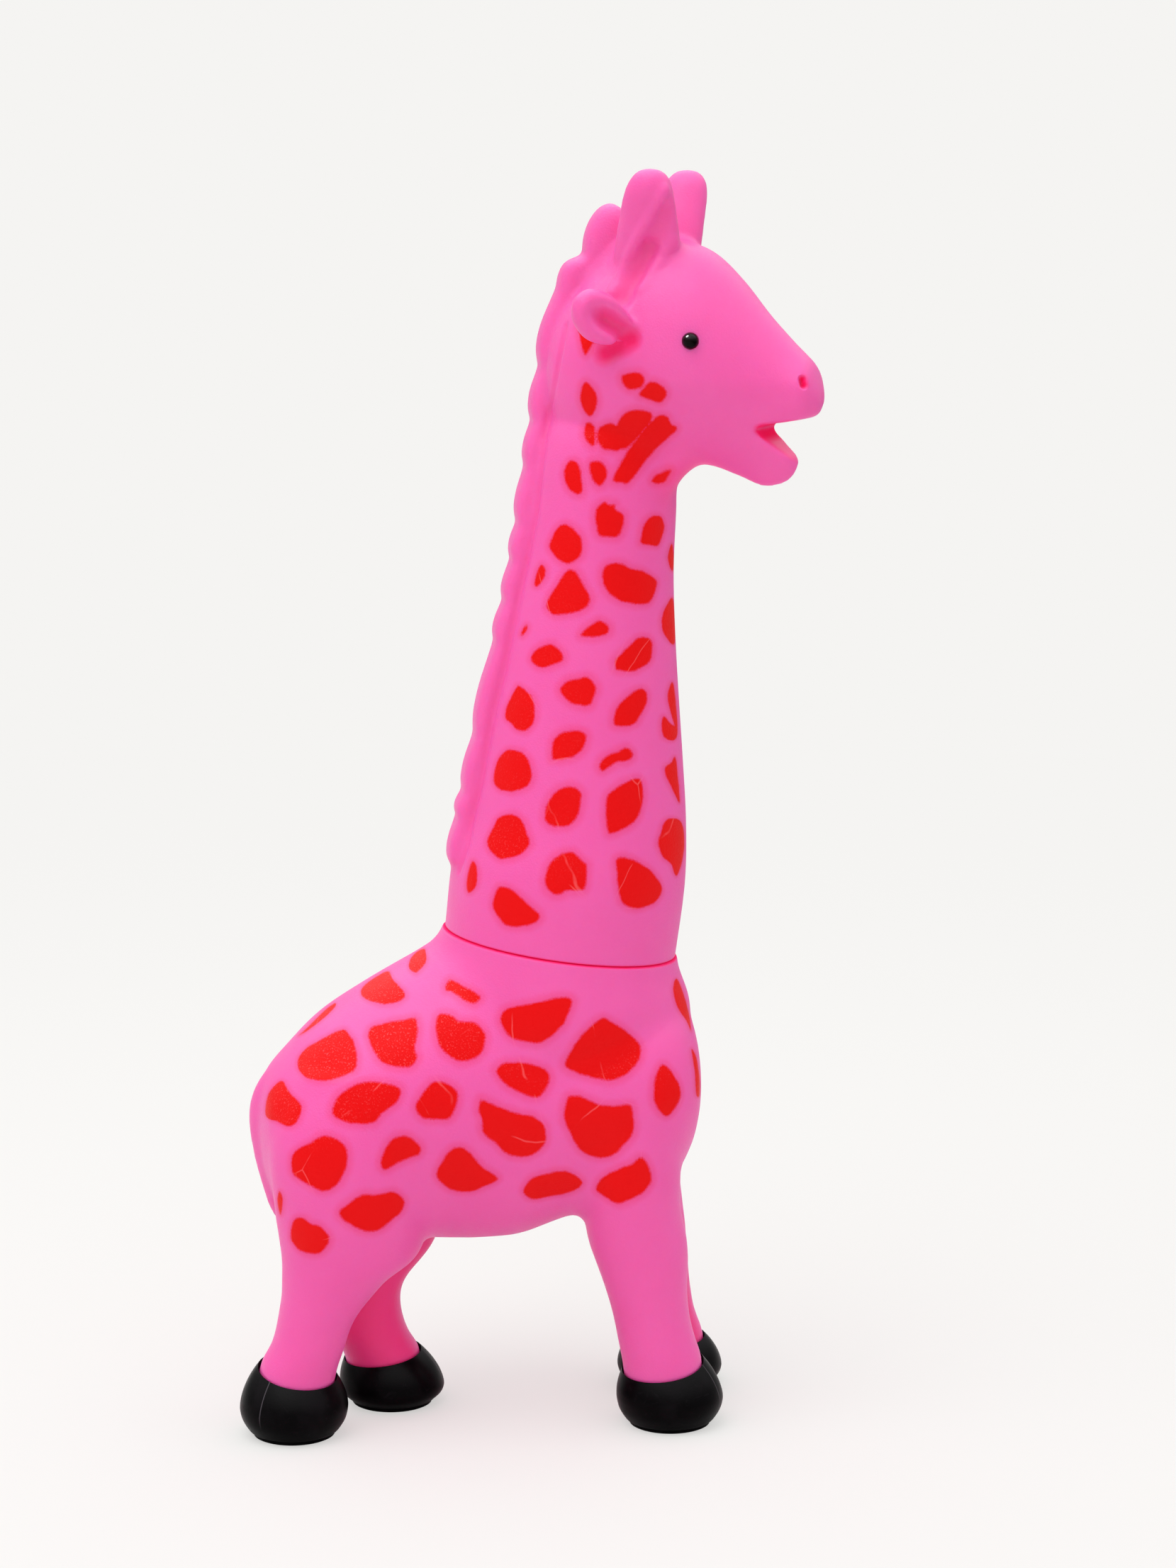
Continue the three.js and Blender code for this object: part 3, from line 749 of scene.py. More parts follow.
@dataclass(frozen=True)
class SpotMask:
    """The spray masks of the spots: an attribute that holds the distance from a spot's edge."""

    attribute: str = "spot_edge"
    outside: float = 12.0
    # in pixels: to a millimetre, from a seen spot to its like on the far side, round an outline
    scale: float = 6.1
    far_shift: Pixel = (9.0, 17.0)
    margin: float = 20.0
    corner_steps: int = 5
    # how far skin faces the camera: to be seen, near the outline, least slant, furthest round
    grazing: float = 0.06
    rim: float = 0.15
    least: float = 0.3
    turned: float = -0.55
    # a spot that runs round is closed off shortly before the furthest place
    close_off: float = 0.15
    fall: float = 15.0
    # a line of sight starts off the skin
    lift: float = 0.25
    sight: float = 400.0
    # a far spot is left out if it meets another one or would be closed off
    gap: float = 1.5
    cut: float = 0.5
    cut_zone: float = 0.2

    def rounded(self, outline: Row) -> np.ndarray:
        """Rounds an outline with a closed smooth curve through its corners.

        Args:
            outline: The corners, x and y in turn.

        Returns:
            The curve's points, one to a row.
        """
        p = np.array(outline, float).reshape(-1, 2)
        before, after, next_after = np.roll(p, 1, 0), np.roll(p, -1, 0), np.roll(p, -2, 0)
        square = 2 * before - 5 * p + 4 * after - next_after
        cube = 3 * p - before - 3 * after + next_after
        steps = []
        for t in np.arange(self.corner_steps) / self.corner_steps:
            steps.append(0.5 * (2 * p + (after - before) * t + square * t**2 + cube * t**3))
        return np.stack(steps, axis=1).reshape(-1, 2)

    @staticmethod
    def edge_distance(points: np.ndarray, outline: np.ndarray) -> np.ndarray:
        """Measures how far points of the picture lie from an outline.

        Args:
            points: Points of the picture.
            outline: The closed outline.

        Returns:
            The distances in pixels, negative inside.
        """
        start, end = outline, np.roll(outline, -1, 0)
        run = end - start
        rel = points[:, None, :] - start[None]
        t = np.clip((rel * run).sum(-1) / np.maximum((run**2).sum(-1), TINY), 0, 1)
        far = np.sqrt(((rel - t[..., None] * run) ** 2).sum(-1)).min(1)
        rises = (start[:, 1] > points[:, 1:2]) != (end[:, 1] > points[:, 1:2])
        drop = np.where(np.abs(run[:, 1]) < TINY, TINY, run[:, 1])
        crossing = start[:, 0] + (points[:, 1:2] - start[:, 1]) * run[:, 0] / drop
        inside = (rises & (points[:, 0:1] < crossing)).sum(1) % 2 == 1
        return np.where(inside, -far, far)

    def spray(
        self, skin: bpy.types.Object, spots: Sequence[Spot], bare: np.ndarray | None = None
    ) -> None:
        """Writes the spots on a skin, the seen side's and the like on the other side.

        A spot that meets the outline of the picture runs on beyond it as its mirror image.

        Args:
            skin: The finished skin, in the sculptor's frame.
            spots: Its spots.
            bare: Which of its vertices stay unpainted, none if left out.
        """
        points, normals, tree = points_of(skin), normals_of(skin), skin_tree(skin)
        bare = np.zeros(len(points), bool) if bare is None else bare
        edge = np.full(len(points), self.outside)
        for view in (PHOTO, PHOTO.far_side()):
            way = np.array(view.eye) - points
            way /= np.linalg.norm(way, axis=1)[:, None]
            facing = (normals * way).sum(1)
            pixels = view.pixels(points)
            paintable = ~bare & (facing > self.turned)
            hidden: dict[int, bool] = {}
            for spot in spots:
                outline = self.rounded(spot.outline)
                if view.flip < 0:
                    outline = outline + np.array(self.far_shift)
                low, high = outline.min(0) - self.margin, outline.max(0) + self.margin
                near = np.nonzero(paintable & (pixels > low).all(1) & (pixels < high).all(1))[0]
                front = near[facing[near] > self.grazing]
                back = near[facing[near] <= self.grazing]
                for i in front:
                    if i not in hidden and not spot.tucked:
                        start = Vector(points[i] + normals[i] * self.lift + way[i] * self.lift)
                        hit = tree.ray_cast(start, Vector(way[i]), self.sight)[0]
                        hidden[i] = hit is not None
                at = np.array([i for i in front if spot.tucked or not hidden[i]], int)
                if not len(at):
                    continue
                found = self.edge_distance(pixels[at], outline) / self.scale
                if len(back) and ((facing[at] < self.rim) & (found < 0)).any():
                    beyond = self.edge_distance(pixels[back], outline) / self.scale
                    closed = (self.turned + self.close_off - facing[back]) * self.fall
                    found = np.append(found, np.maximum(beyond, closed))
                    at = np.append(at, back)
                found /= np.maximum(np.abs(facing[at]), self.least)
                crowded = (edge[at[found < self.gap]] < 0).any()
                ends = (facing[at[found < self.cut]] < self.turned + self.cut_zone).any()
                if view.flip < 0 and (crowded or ends):
                    continue
                edge[at] = np.minimum(edge[at], found)
        mark(skin, self.attribute, edge)


SPOTS = SpotMask()

NECK_SPOTS: tuple[Spot, ...] = (
    Spot((815, 455, 830, 462, 846, 478, 838, 484, 827, 501, 821, 494, 818, 480), tucked=True),
    Spot((826, 538, 834, 544, 841, 554, 843, 568, 838, 584, 831, 588, 824, 580, 818, 566, 818, 556,
          821, 544)),
    Spot((876, 530, 886, 526, 900, 525, 909, 531, 909, 540, 902, 549, 888, 550, 880, 544,
          876, 537)),
    Spot((901, 557, 910, 544, 918, 538, 930, 541, 940, 550, 940, 560, 932, 569, 920, 566)),
    Spot((828, 595, 836, 598, 840, 608, 839, 630, 830, 626, 823, 614, 824, 602)),
    Spot((846, 602, 858, 596, 868, 599, 874, 606, 876, 634, 860, 636, 848, 633, 842, 620,
          843, 608)),
    Spot((870, 598, 880, 584, 892, 578, 906, 578, 918, 582, 921, 590, 915, 600, 905, 612, 893, 626,
          880, 634, 868, 630)),
    Spot((920, 592, 932, 585, 942, 588, 948, 598, 955, 602, 953, 610, 932, 628, 912, 650, 896, 672,
          884, 684, 878, 682, 864, 680, 865, 672, 880, 644, 896, 620)),
    Spot((920, 676, 924, 670, 934, 665, 947, 662, 944, 672, 938, 681, 926, 682, 919, 680)),
    Spot((806, 649, 814, 652, 820, 664, 822, 686, 820, 696, 813, 698, 802, 690, 795, 674, 796, 660,
          801, 652)),
    Spot((834, 651, 846, 650, 855, 658, 857, 670, 852, 682, 844, 686, 835, 676, 831, 662)),
    Spot((844, 713, 854, 707, 860, 712, 868, 711, 869, 718, 881, 728, 878, 748, 870, 758, 854, 758,
          844, 754, 840, 740, 839, 724)),
    Spot((916, 730, 926, 727, 934, 730, 938, 744, 934, 758, 928, 770, 920, 770, 904, 767, 904, 756,
          908, 740)),
    Spot((786, 744, 798, 739, 810, 746, 821, 760, 822, 774, 816, 788, 802, 796, 790, 792, 780, 782,
          774, 772, 778, 758)),
    Spot((948, 766, 951, 790, 949, 806, 944, 798, 942, 784)),
    Spot((764, 796, 770, 804, 768, 816, 760, 826, 754, 827, 754, 818, 758, 804)),
    Spot((804, 803, 814, 807, 822, 822, 832, 840, 831, 852, 824, 860, 806, 866, 790, 868, 778, 866,
          770, 856, 774, 842, 786, 824, 796, 808)),
    Spot((850, 804, 860, 795, 874, 794, 890, 801, 910, 806, 926, 818, 926, 830, 920, 846, 912, 853,
          890, 852, 870, 846, 856, 834, 850, 820)),
    Spot((933, 874, 940, 854, 950, 846, 952, 908, 936, 894)),
    Spot((735, 892, 742, 881, 745, 884, 742, 892, 736, 898)),
    Spot((819, 896, 826, 886, 840, 877, 848, 876, 858, 882, 860, 890, 856, 896, 840, 899,
          824, 899)),
    Spot((750, 924, 758, 914, 774, 908, 784, 912, 794, 922, 794, 932, 782, 938, 770, 942, 756, 940,
          749, 932)),
    Spot((867, 940, 868, 930, 880, 918, 896, 902, 908, 898, 918, 902, 921, 916, 918, 932, 906, 942,
          890, 948, 870, 946)),
    Spot((790, 970, 800, 960, 814, 957, 826, 954, 836, 960, 842, 972, 838, 984, 832, 996, 818, 996,
          802, 990, 792, 980)),
    Spot((732, 967, 744, 976, 752, 986, 755, 1002, 752, 1020, 742, 1031, 728, 1029, 720, 1020,
          713, 1014, 713, 1002, 720, 984, 728, 970)),
    Spot((866, 1022, 866, 1008, 876, 990, 892, 976, 906, 971, 913, 978, 913, 992, 906, 1006,
          896, 1021, 880, 1025)),
    Spot((942, 978, 950, 964, 956, 1030, 944, 1000)),
    Spot((933, 1028, 934, 1014, 938, 1011, 948, 1022, 956, 1028, 954, 1042, 946, 1045, 936, 1040)),
    Spot((778, 1068, 780, 1046, 790, 1034, 808, 1030, 822, 1032, 828, 1040, 822, 1058, 810, 1068,
          798, 1071, 782, 1073)),
    Spot((699, 1080, 706, 1066, 716, 1057, 730, 1059, 740, 1064, 748, 1078, 751, 1094, 746, 1108,
          730, 1116, 710, 1116, 700, 1110, 696, 1100)),
    Spot((846, 1076, 856, 1066, 870, 1060, 882, 1054, 892, 1060, 892, 1070, 882, 1075, 870, 1076,
          860, 1082, 850, 1088, 845, 1084)),
    Spot((938, 1082, 946, 1076, 953, 1068, 957, 1100, 959, 1133, 950, 1118, 939, 1094)),
    Spot((768, 1154, 770, 1136, 780, 1120, 794, 1110, 808, 1109, 820, 1118, 820, 1132, 816, 1150,
          808, 1162, 796, 1167, 780, 1166, 770, 1160)),
    Spot((855, 1128, 860, 1118, 880, 1104, 902, 1098, 908, 1114, 907, 1132, 900, 1154, 888, 1166,
          876, 1172, 862, 1177, 857, 1174, 854, 1156, 854, 1140)),
    Spot((702, 1154, 714, 1149, 726, 1149, 738, 1158, 743, 1172, 748, 1188, 744, 1198, 730, 1208,
          706, 1212, 692, 1202, 687, 1192, 688, 1182, 696, 1166)),
    Spot((928, 1190, 932, 1174, 938, 1158, 948, 1154, 960, 1158, 965, 1174, 965, 1200, 960, 1224,
          955, 1236, 951, 1232, 947, 1220, 934, 1208)),
    Spot((666, 1214, 672, 1220, 674, 1234, 672, 1250, 664, 1259, 659, 1258, 658, 1244, 661, 1228)),
    Spot((768, 1240, 772, 1224, 784, 1208, 806, 1201, 820, 1212, 828, 1220, 828, 1236, 824, 1256,
          800, 1258, 792, 1262, 780, 1262, 770, 1252)),
    Spot((869, 1212, 886, 1210, 904, 1218, 920, 1230, 932, 1246, 934, 1258, 926, 1272, 910, 1280,
          892, 1282, 878, 1274, 873, 1260, 870, 1238)),
    Spot((702, 1252, 710, 1250, 724, 1256, 740, 1270, 756, 1284, 762, 1290, 760, 1298, 748, 1306,
          734, 1308, 714, 1306, 704, 1296, 695, 1280, 696, 1266)),
)

BODY_SPOTS: tuple[Spot, ...] = (
    Spot((592, 1340, 600, 1340, 601, 1357, 590, 1371, 582, 1371, 576, 1362, 582, 1348)),
    Spot((512, 1392, 530, 1378, 548, 1370, 555, 1382, 570, 1398, 570, 1408, 555, 1416, 535, 1416,
          515, 1409, 509, 1402)),
    Spot((420, 1462, 435, 1448, 458, 1425, 472, 1415, 473, 1420, 462, 1432, 440, 1450)),
    Spot((420, 1495, 430, 1480, 455, 1465, 482, 1452, 492, 1458, 500, 1472, 504, 1495, 500, 1510,
          478, 1521, 458, 1525, 435, 1522, 422, 1510)),
    Spot((518, 1460, 525, 1448, 548, 1442, 570, 1438, 586, 1436, 590, 1450, 586, 1480, 589, 1492,
          580, 1505, 565, 1506, 540, 1500, 528, 1485, 521, 1470)),
    Spot((615, 1440, 620, 1430, 635, 1431, 648, 1440, 670, 1442, 684, 1458, 684, 1475, 675, 1490,
          652, 1498, 632, 1490, 620, 1475, 615, 1460)),
    Spot((628, 1390, 635, 1381, 652, 1390, 672, 1400, 679, 1408, 670, 1416, 658, 1414, 638, 1400,
          629, 1398)),
    Spot((374, 1568, 378, 1545, 388, 1530, 399, 1525, 410, 1542, 425, 1558, 425, 1570, 418, 1585,
          405, 1589, 390, 1582, 378, 1578)),
    Spot((468, 1568, 475, 1548, 495, 1532, 522, 1525, 552, 1529, 566, 1538, 560, 1555, 540, 1572,
          525, 1585, 495, 1585, 475, 1578)),
    Spot((586, 1565, 590, 1550, 605, 1530, 618, 1525, 635, 1530, 646, 1542, 644, 1562, 635, 1578,
          618, 1580, 598, 1578)),
    Spot((410, 1638, 415, 1625, 440, 1610, 455, 1602, 475, 1606, 488, 1618, 491, 1638, 484, 1660,
          472, 1675, 455, 1681, 435, 1672, 422, 1665, 412, 1655)),
    Spot((538, 1648, 538, 1632, 550, 1610, 565, 1602, 580, 1605, 594, 1618, 591, 1630, 575, 1635,
          560, 1642, 545, 1651)),
    Spot((615, 1658, 622, 1640, 635, 1622, 650, 1618, 662, 1625, 680, 1645, 702, 1660, 698, 1668,
          680, 1676, 662, 1682, 640, 1680, 625, 1672)),
    Spot((394, 1680, 399, 1690, 398, 1708, 395, 1714, 391, 1695)),
    Spot((410, 1735, 415, 1720, 428, 1718, 438, 1725, 452, 1730, 465, 1745, 462, 1758, 450, 1769,
          432, 1768, 420, 1762, 411, 1750)),
    Spot((478, 1710, 490, 1698, 510, 1685, 532, 1685, 555, 1681, 570, 1692, 568, 1708, 552, 1722,
          535, 1736, 515, 1738, 498, 1730, 485, 1722)),
    Spot((705, 1435, 715, 1422, 745, 1416, 780, 1408, 800, 1406, 808, 1412, 802, 1432, 790, 1452,
          765, 1471, 745, 1471, 722, 1465, 708, 1448)),
    Spot((796, 1500, 802, 1488, 820, 1460, 848, 1436, 865, 1442, 885, 1455, 902, 1472, 904, 1490,
          895, 1505, 882, 1518, 862, 1525, 840, 1522, 815, 1515, 800, 1508)),
    Spot((949, 1395, 954, 1380, 962, 1395, 972, 1430, 975, 1455, 968, 1440, 955, 1420)),
    Spot((975, 1480, 982, 1490, 987, 1520, 987, 1545, 982, 1545, 980, 1515)),
    Spot((699, 1512, 708, 1500, 722, 1498, 745, 1500, 768, 1508, 776, 1520, 770, 1538, 758, 1549,
          740, 1545, 715, 1532)),
    Spot((922, 1528, 928, 1508, 936, 1501, 948, 1512, 959, 1532, 960, 1550, 950, 1568, 941, 1575,
          930, 1568, 922, 1552)),
    Spot((675, 1555, 680, 1550, 702, 1560, 732, 1571, 752, 1574, 768, 1588, 771, 1605, 765, 1620,
          750, 1630, 735, 1633, 715, 1628, 698, 1612, 680, 1598, 679, 1580, 675, 1568)),
    Spot((795, 1570, 800, 1548, 815, 1545, 832, 1552, 852, 1559, 872, 1559, 890, 1558, 894, 1575,
          894, 1598, 882, 1615, 865, 1630, 845, 1634, 825, 1628, 812, 1615, 802, 1595, 796, 1582)),
    Spot((738, 1678, 750, 1662, 772, 1655, 795, 1651, 812, 1658, 822, 1668, 815, 1678, 795, 1685,
          775, 1688, 755, 1692, 742, 1688)),
    Spot((840, 1678, 848, 1662, 872, 1648, 890, 1642, 902, 1632, 912, 1638, 919, 1655, 918, 1670,
          905, 1685, 885, 1695, 870, 1698, 852, 1688)),
)


# ---------------------------------------------------------------- finishes


@dataclass(frozen=True)
class PinkVinyl:
    """Soft PVC, rotationally cast and sprayed with red spots."""

    pink: str = "#ED55A6"
    pale: str = "#F060AF"
    # crimson painted into creases, hollows and grooves as shade, and given off there as a faint
    # painted glow
    deep: str = "#F00A5E"
    paint: str = "#E70307"
    # lightened paint, for scratches and for painted glints
    scratch_and_glint: str = "#FF8086"
    ior: float = 1.53
    specular: float = 0.3
    dull_specular: float = 0.1
    roughness: Span = (0.38, 0.5)
    grain_values: Span = (0.3, 0.7)
    grain_mm: float = 0.42
    cloud_mm: float = 16.0
    ragged_mm: float = 2.6
    # how far raggedness and grain move a spot's edge, and its shift
    creep_mm: Triple = (0.7, 0.5, -0.6)
    edge_mm: Span = (-0.6, 0.6)
    mist_mm: Span = (0.1, 2.2)
    mist: float = 0.26
    # scratches: their distance and wandering, half widths, and the cloud values that show them
    scratch_mm: float = 24.0
    scratch_bend: float = 0.004
    hairline: Span = (0.002, 0.007)
    worn: Span = (0.5, 0.56)
    worn_share: float = 0.3
    # painted glints on the paint's upper side: the slopes they come in at, their strength, and the
    # grain values that carry them
    upper: Span = (0.1, 0.6)
    painted_glint: float = 0.32
    glint_speck: Span = (0.58, 0.68)
    # painted shade in the folds: where it starts, how full it gets, and the strength of its
    # painted glow
    painted_shade_from: float = 0.1
    painted_shade_share: float = 0.95
    painted_glow: float = 0.08
    # strength and depth of the grain; share and reach of the light in the vinyl, in metres
    bump: Span = (0.3, 0.0003)
    scatter: Span = (0.45, 0.003)
    scatter_rgb: Triple = (1.0, 0.12, 0.25)

    def material(self) -> bpy.types.Material:
        """Makes the material.

        Returns:
            Pink plastisol with a satin, sand-blasted skin and sprayed red spots, with painted
            shade in its folds and painted glints on the paint.
        """
        made = new_material("soft_pvc_rotocast_pink")
        tree = made.node_tree
        # Plastisol takes the fine blasted grain of its mould, so its sheen is broad and soft,
        # and light goes a millimetre or two into it, which fills the folds with deep pink.
        # The grain is 0.2 mm on the toy and is drawn at twice that so that it shows.
        at = add_node(tree, "ShaderNodeTexCoord").outputs["Object"]
        grain, cloud, ragged = (
            add_node(tree, "ShaderNodeTexNoise", {
                "Vector": at, "Scale": MM_IN_METRE / width, "Detail": detail})
            for width, detail in (
                (self.grain_mm, 2.0), (self.cloud_mm, 3.0), (self.ragged_mm, 3.0)))
        cover = self.spray_cover(tree, grain.outputs["Fac"], ragged.outputs["Fac"])
        scratched_and_glinting = self.scratches_and_glints(tree, at, grain.outputs["Fac"], cloud)
        red = add_node(tree, "ShaderNodeMix", {
            0: scratched_and_glinting, 6: hex_linear(self.paint), 7: hex_linear(self.scratch_and_glint)}, data_type="RGBA")
        pink = add_node(tree, "ShaderNodeMix", {
            0: cloud.outputs["Fac"], 6: hex_linear(self.pink), 7: hex_linear(self.pale)},
            data_type="RGBA")
        # Painted shade: creases, grooves, hollows, the mouth, under the jaw and the inner legs are
        # painted deep crimson, and a faint painted glow of that crimson stands in for the light
        # that comes through the vinyl there.
        painted_shade = add_node(tree, "ShaderNodeAttribute", attribute_name="painted_shade")
        shade_amount = add_node(tree, "ShaderNodeMapRange", {
            "Value": painted_shade.outputs["Fac"], "From Min": self.painted_shade_from, "To Max": self.painted_shade_share})
        painted_glow = add_node(tree, "ShaderNodeMath", {
            0: painted_shade.outputs["Fac"], 1: self.painted_glow}, operation="MULTIPLY")
        shaded_pink = add_node(tree, "ShaderNodeMix", {
            0: shade_amount.outputs[0], 6: pink.outputs[2], 7: hex_linear(self.deep)}, data_type="RGBA")
        colour = add_node(tree, "ShaderNodeMix", {
            0: cover, 6: shaded_pink.outputs[2], 7: red.outputs[2]}, data_type="RGBA")
        # Paint, and the folds where shade is painted, are duller than the bare skin.
        dull = add_node(tree, "ShaderNodeMath", {
            0: cover, 1: shade_amount.outputs[0]}, operation="MAXIMUM")
        sheen = add_node(tree, "ShaderNodeMapRange", {
            "Value": dull.outputs[0], "To Min": self.specular, "To Max": self.dull_specular})
        gloss = add_node(tree, "ShaderNodeMapRange", {
            "Value": grain.outputs["Fac"], "From Min": self.grain_values[0],
            "From Max": self.grain_values[1], "To Min": self.roughness[0],
            "To Max": self.roughness[1]})
        matt = add_node(tree, "ShaderNodeMath", {
            0: gloss.outputs[0], 1: shade_amount.outputs[0]}, operation="MAXIMUM")
        bump = add_node(tree, "ShaderNodeBump", {
            "Height": grain.outputs["Fac"], "Strength": self.bump[0], "Distance": self.bump[1]})
        shader = add_node(tree, "ShaderNodeBsdfPrincipled", {
            "Base Color": colour.outputs[2], "Roughness": matt.outputs[0],
            "Normal": bump.outputs[0], "IOR": self.ior, "Specular IOR Level": sheen.outputs[0],
            "Subsurface Weight": self.scatter[0], "Subsurface Scale": self.scatter[1],
            "Subsurface Radius": self.scatter_rgb,
            "Emission Color": hex_linear(self.deep), "Emission Strength": painted_glow.outputs[0]})
        add_node(tree, "ShaderNodeOutputMaterial", {"Surface": shader.outputs[0]})
        return made

    def spray_cover(
        self, tree: bpy.types.NodeTree, grain: bpy.types.NodeSocket, ragged: bpy.types.NodeSocket
    ) -> bpy.types.NodeSocket:
        """Lays the paint of the spots from the distance to their edges.

        Args:
            tree: The material's nodes.
            grain: The skin's grain.
            ragged: The raggedness along an edge.

        Returns:
            How much the paint covers, from 0 to 1.
        """
        edge = add_node(tree, "ShaderNodeAttribute", attribute_name=SPOTS.attribute)
        # Spray creeps under the mask by half a millimetre and leaves a thin mist outside it.
        by_ragged, by_grain, shift = self.creep_mm
        wander = add_node(tree, "ShaderNodeMath", {
            0: ragged, 1: by_ragged, 2: shift}, operation="MULTIPLY_ADD")
        creep = add_node(tree, "ShaderNodeMath", {
            0: grain, 1: by_grain, 2: wander.outputs[0]}, operation="MULTIPLY_ADD")
        reach = add_node(tree, "ShaderNodeMath", {
            0: edge.outputs["Fac"], 1: creep.outputs[0]}, operation="ADD")
        body, mist = (
            add_node(tree, "ShaderNodeMapRange", {
                "Value": reach.outputs[0], "From Min": full, "From Max": end,
                "To Min": most, "To Max": 0.0}, interpolation_type="SMOOTHSTEP")
            for (full, end), most in ((self.edge_mm, 1.0), (self.mist_mm, self.mist)))
        return add_node(tree, "ShaderNodeMath", {
            0: body.outputs[0], 1: mist.outputs[0]}, operation="MAXIMUM").outputs[0]

    def scratches_and_glints(
        self, tree: bpy.types.NodeTree, at: bpy.types.NodeSocket, grain: bpy.types.NodeSocket,
        cloud: bpy.types.Node
    ) -> bpy.types.NodeSocket:
        """Finds where the paint is scratched, and where glints are painted on its upper side.

        Args:
            tree: The material's nodes.
            at: The place on the piece.
            grain: The skin's grain.
            cloud: The noise of the skin's clouds.

        Returns:
            How much the paint is lightened by scratches and by painted glints, from 0 to 1.
        """
        # Hairline scratches lift the paint.
        bent = add_node(tree, "ShaderNodeVectorMath", {
            0: cloud.outputs["Color"], 1: (self.scratch_bend,) * 3, 2: at},
            operation="MULTIPLY_ADD")
        cells = add_node(tree, "ShaderNodeTexVoronoi", {
            "Vector": bent.outputs[0], "Scale": MM_IN_METRE / self.scratch_mm},
            feature="DISTANCE_TO_EDGE")
        hair = add_node(tree, "ShaderNodeMapRange", {
            "Value": cells.outputs["Distance"], "From Min": self.hairline[0],
            "From Max": self.hairline[1], "To Min": 1.0, "To Max": 0.0})
        # Painted glints: on the upper side, grains of the paint are painted lighter, as highlights
        # of the light overhead.
        normal = add_node(tree, "ShaderNodeNewGeometry").outputs["Normal"]
        slope = add_node(tree, "ShaderNodeSeparateXYZ", {0: normal}).outputs["Z"]
        worn, glint_slope, glint_speck = (
            add_node(tree, "ShaderNodeMapRange", {
                "Value": value, "From Min": low, "From Max": high, "To Min": 0.0, "To Max": most})
            for value, (low, high), most in (
                (cloud.outputs["Fac"], self.worn, self.worn_share),
                (slope, self.upper, self.painted_glint),
                (grain, self.glint_speck, 1.0)))
        lift, painted_glint = (
            add_node(tree, "ShaderNodeMath", {0: one.outputs[0], 1: other.outputs[0]},
                     operation="MULTIPLY")
            for one, other in ((hair, worn), (glint_speck, glint_slope)))
        return add_node(tree, "ShaderNodeMath", {
            0: lift.outputs[0], 1: painted_glint.outputs[0]}, operation="MAXIMUM").outputs[0]


@dataclass(frozen=True)
class BlackVinyl:
    """Soft PVC in black, as moulded, with rubbed patches."""

    black: str = "#040304"
    rubbed: str = "#120F12"
    flash: str = "#6A636A"
    ior: float = 1.53
    specular: float = 0.035
    roughness: Span = (0.3, 0.55)
    grain_mm: float = 0.45
    # patches and scuffs: their width, the noise values that show them, and their strength
    rub_mm: float = 7.0
    rub: Triple = (0.5, 0.72, 0.55)
    scuff_mm: float = 3.2
    scuff: Triple = (0.6, 0.68, 0.5)
    scuff_bend: float = 2.5
    # the parting line: half widths, and the heights in metres at which it comes in
    flash_mm: Span = (0.06, 0.18)
    flash_rise: Triple = (0.004, 0.008, 0.45)
    bump: Span = (0.1, 0.0002)

    def material(self) -> bpy.types.Material:
        """Makes the material.

        Returns:
            Black plastisol with a satin skin, dull rubbed patches and fine scuffs.
        """
        made = new_material("soft_pvc_moulded_black")
        tree = made.node_tree
        # Black PVC looks wet where the mould was smooth and grey where the table has rubbed it.
        at = add_node(tree, "ShaderNodeTexCoord").outputs["Object"]
        height = add_node(tree, "ShaderNodeSeparateXYZ", {0: at}).outputs["Z"]
        grain, rub, scuff = (
            add_node(tree, "ShaderNodeTexNoise", {
                "Vector": at, "Scale": MM_IN_METRE / width, "Detail": detail, "Distortion": bend})
            for width, detail, bend in (
                (self.grain_mm, 2.0, 0.0), (self.rub_mm, 4.0, 0.0),
                (self.scuff_mm, 5.0, self.scuff_bend)))
        patch, line, upper = (
            add_node(tree, "ShaderNodeMapRange", {
                "Value": value, "From Min": low, "From Max": high, "To Min": 0.0, "To Max": most})
            for value, (low, high, most) in (
                (rub.outputs["Fac"], self.rub), (scuff.outputs["Fac"], self.scuff),
                (height, self.flash_rise)))
        worn = add_node(tree, "ShaderNodeMath", {
            0: patch.outputs[0], 1: line.outputs[0]}, operation="MAXIMUM")
        colour = add_node(tree, "ShaderNodeMix", {
            0: worn.outputs[0], 6: hex_linear(self.black), 7: hex_linear(self.rubbed)},
            data_type="RGBA")
        # The mould's parting line is left as a hair of flash, rubbed grey.
        parting = add_node(tree, "ShaderNodeAttribute", attribute_name="parting")
        off = add_node(tree, "ShaderNodeMath", {0: parting.outputs["Fac"]}, operation="ABSOLUTE")
        hair = add_node(tree, "ShaderNodeMapRange", {
            "Value": off.outputs[0], "From Min": self.flash_mm[0], "From Max": self.flash_mm[1],
            "To Min": upper.outputs[0], "To Max": 0.0})
        marked = add_node(tree, "ShaderNodeMix", {
            0: hair.outputs[0], 6: colour.outputs[2], 7: hex_linear(self.flash)}, data_type="RGBA")
        gloss = add_node(tree, "ShaderNodeMapRange", {
            "Value": worn.outputs[0], "To Min": self.roughness[0], "To Max": self.roughness[1]})
        bump = add_node(tree, "ShaderNodeBump", {
            "Height": grain.outputs["Fac"], "Strength": self.bump[0], "Distance": self.bump[1]})
        shader = add_node(tree, "ShaderNodeBsdfPrincipled", {
            "Base Color": marked.outputs[2], "Roughness": gloss.outputs[0],
            "Normal": bump.outputs[0], "IOR": self.ior, "Specular IOR Level": self.specular})
        add_node(tree, "ShaderNodeOutputMaterial", {"Surface": shader.outputs[0]})
        return made


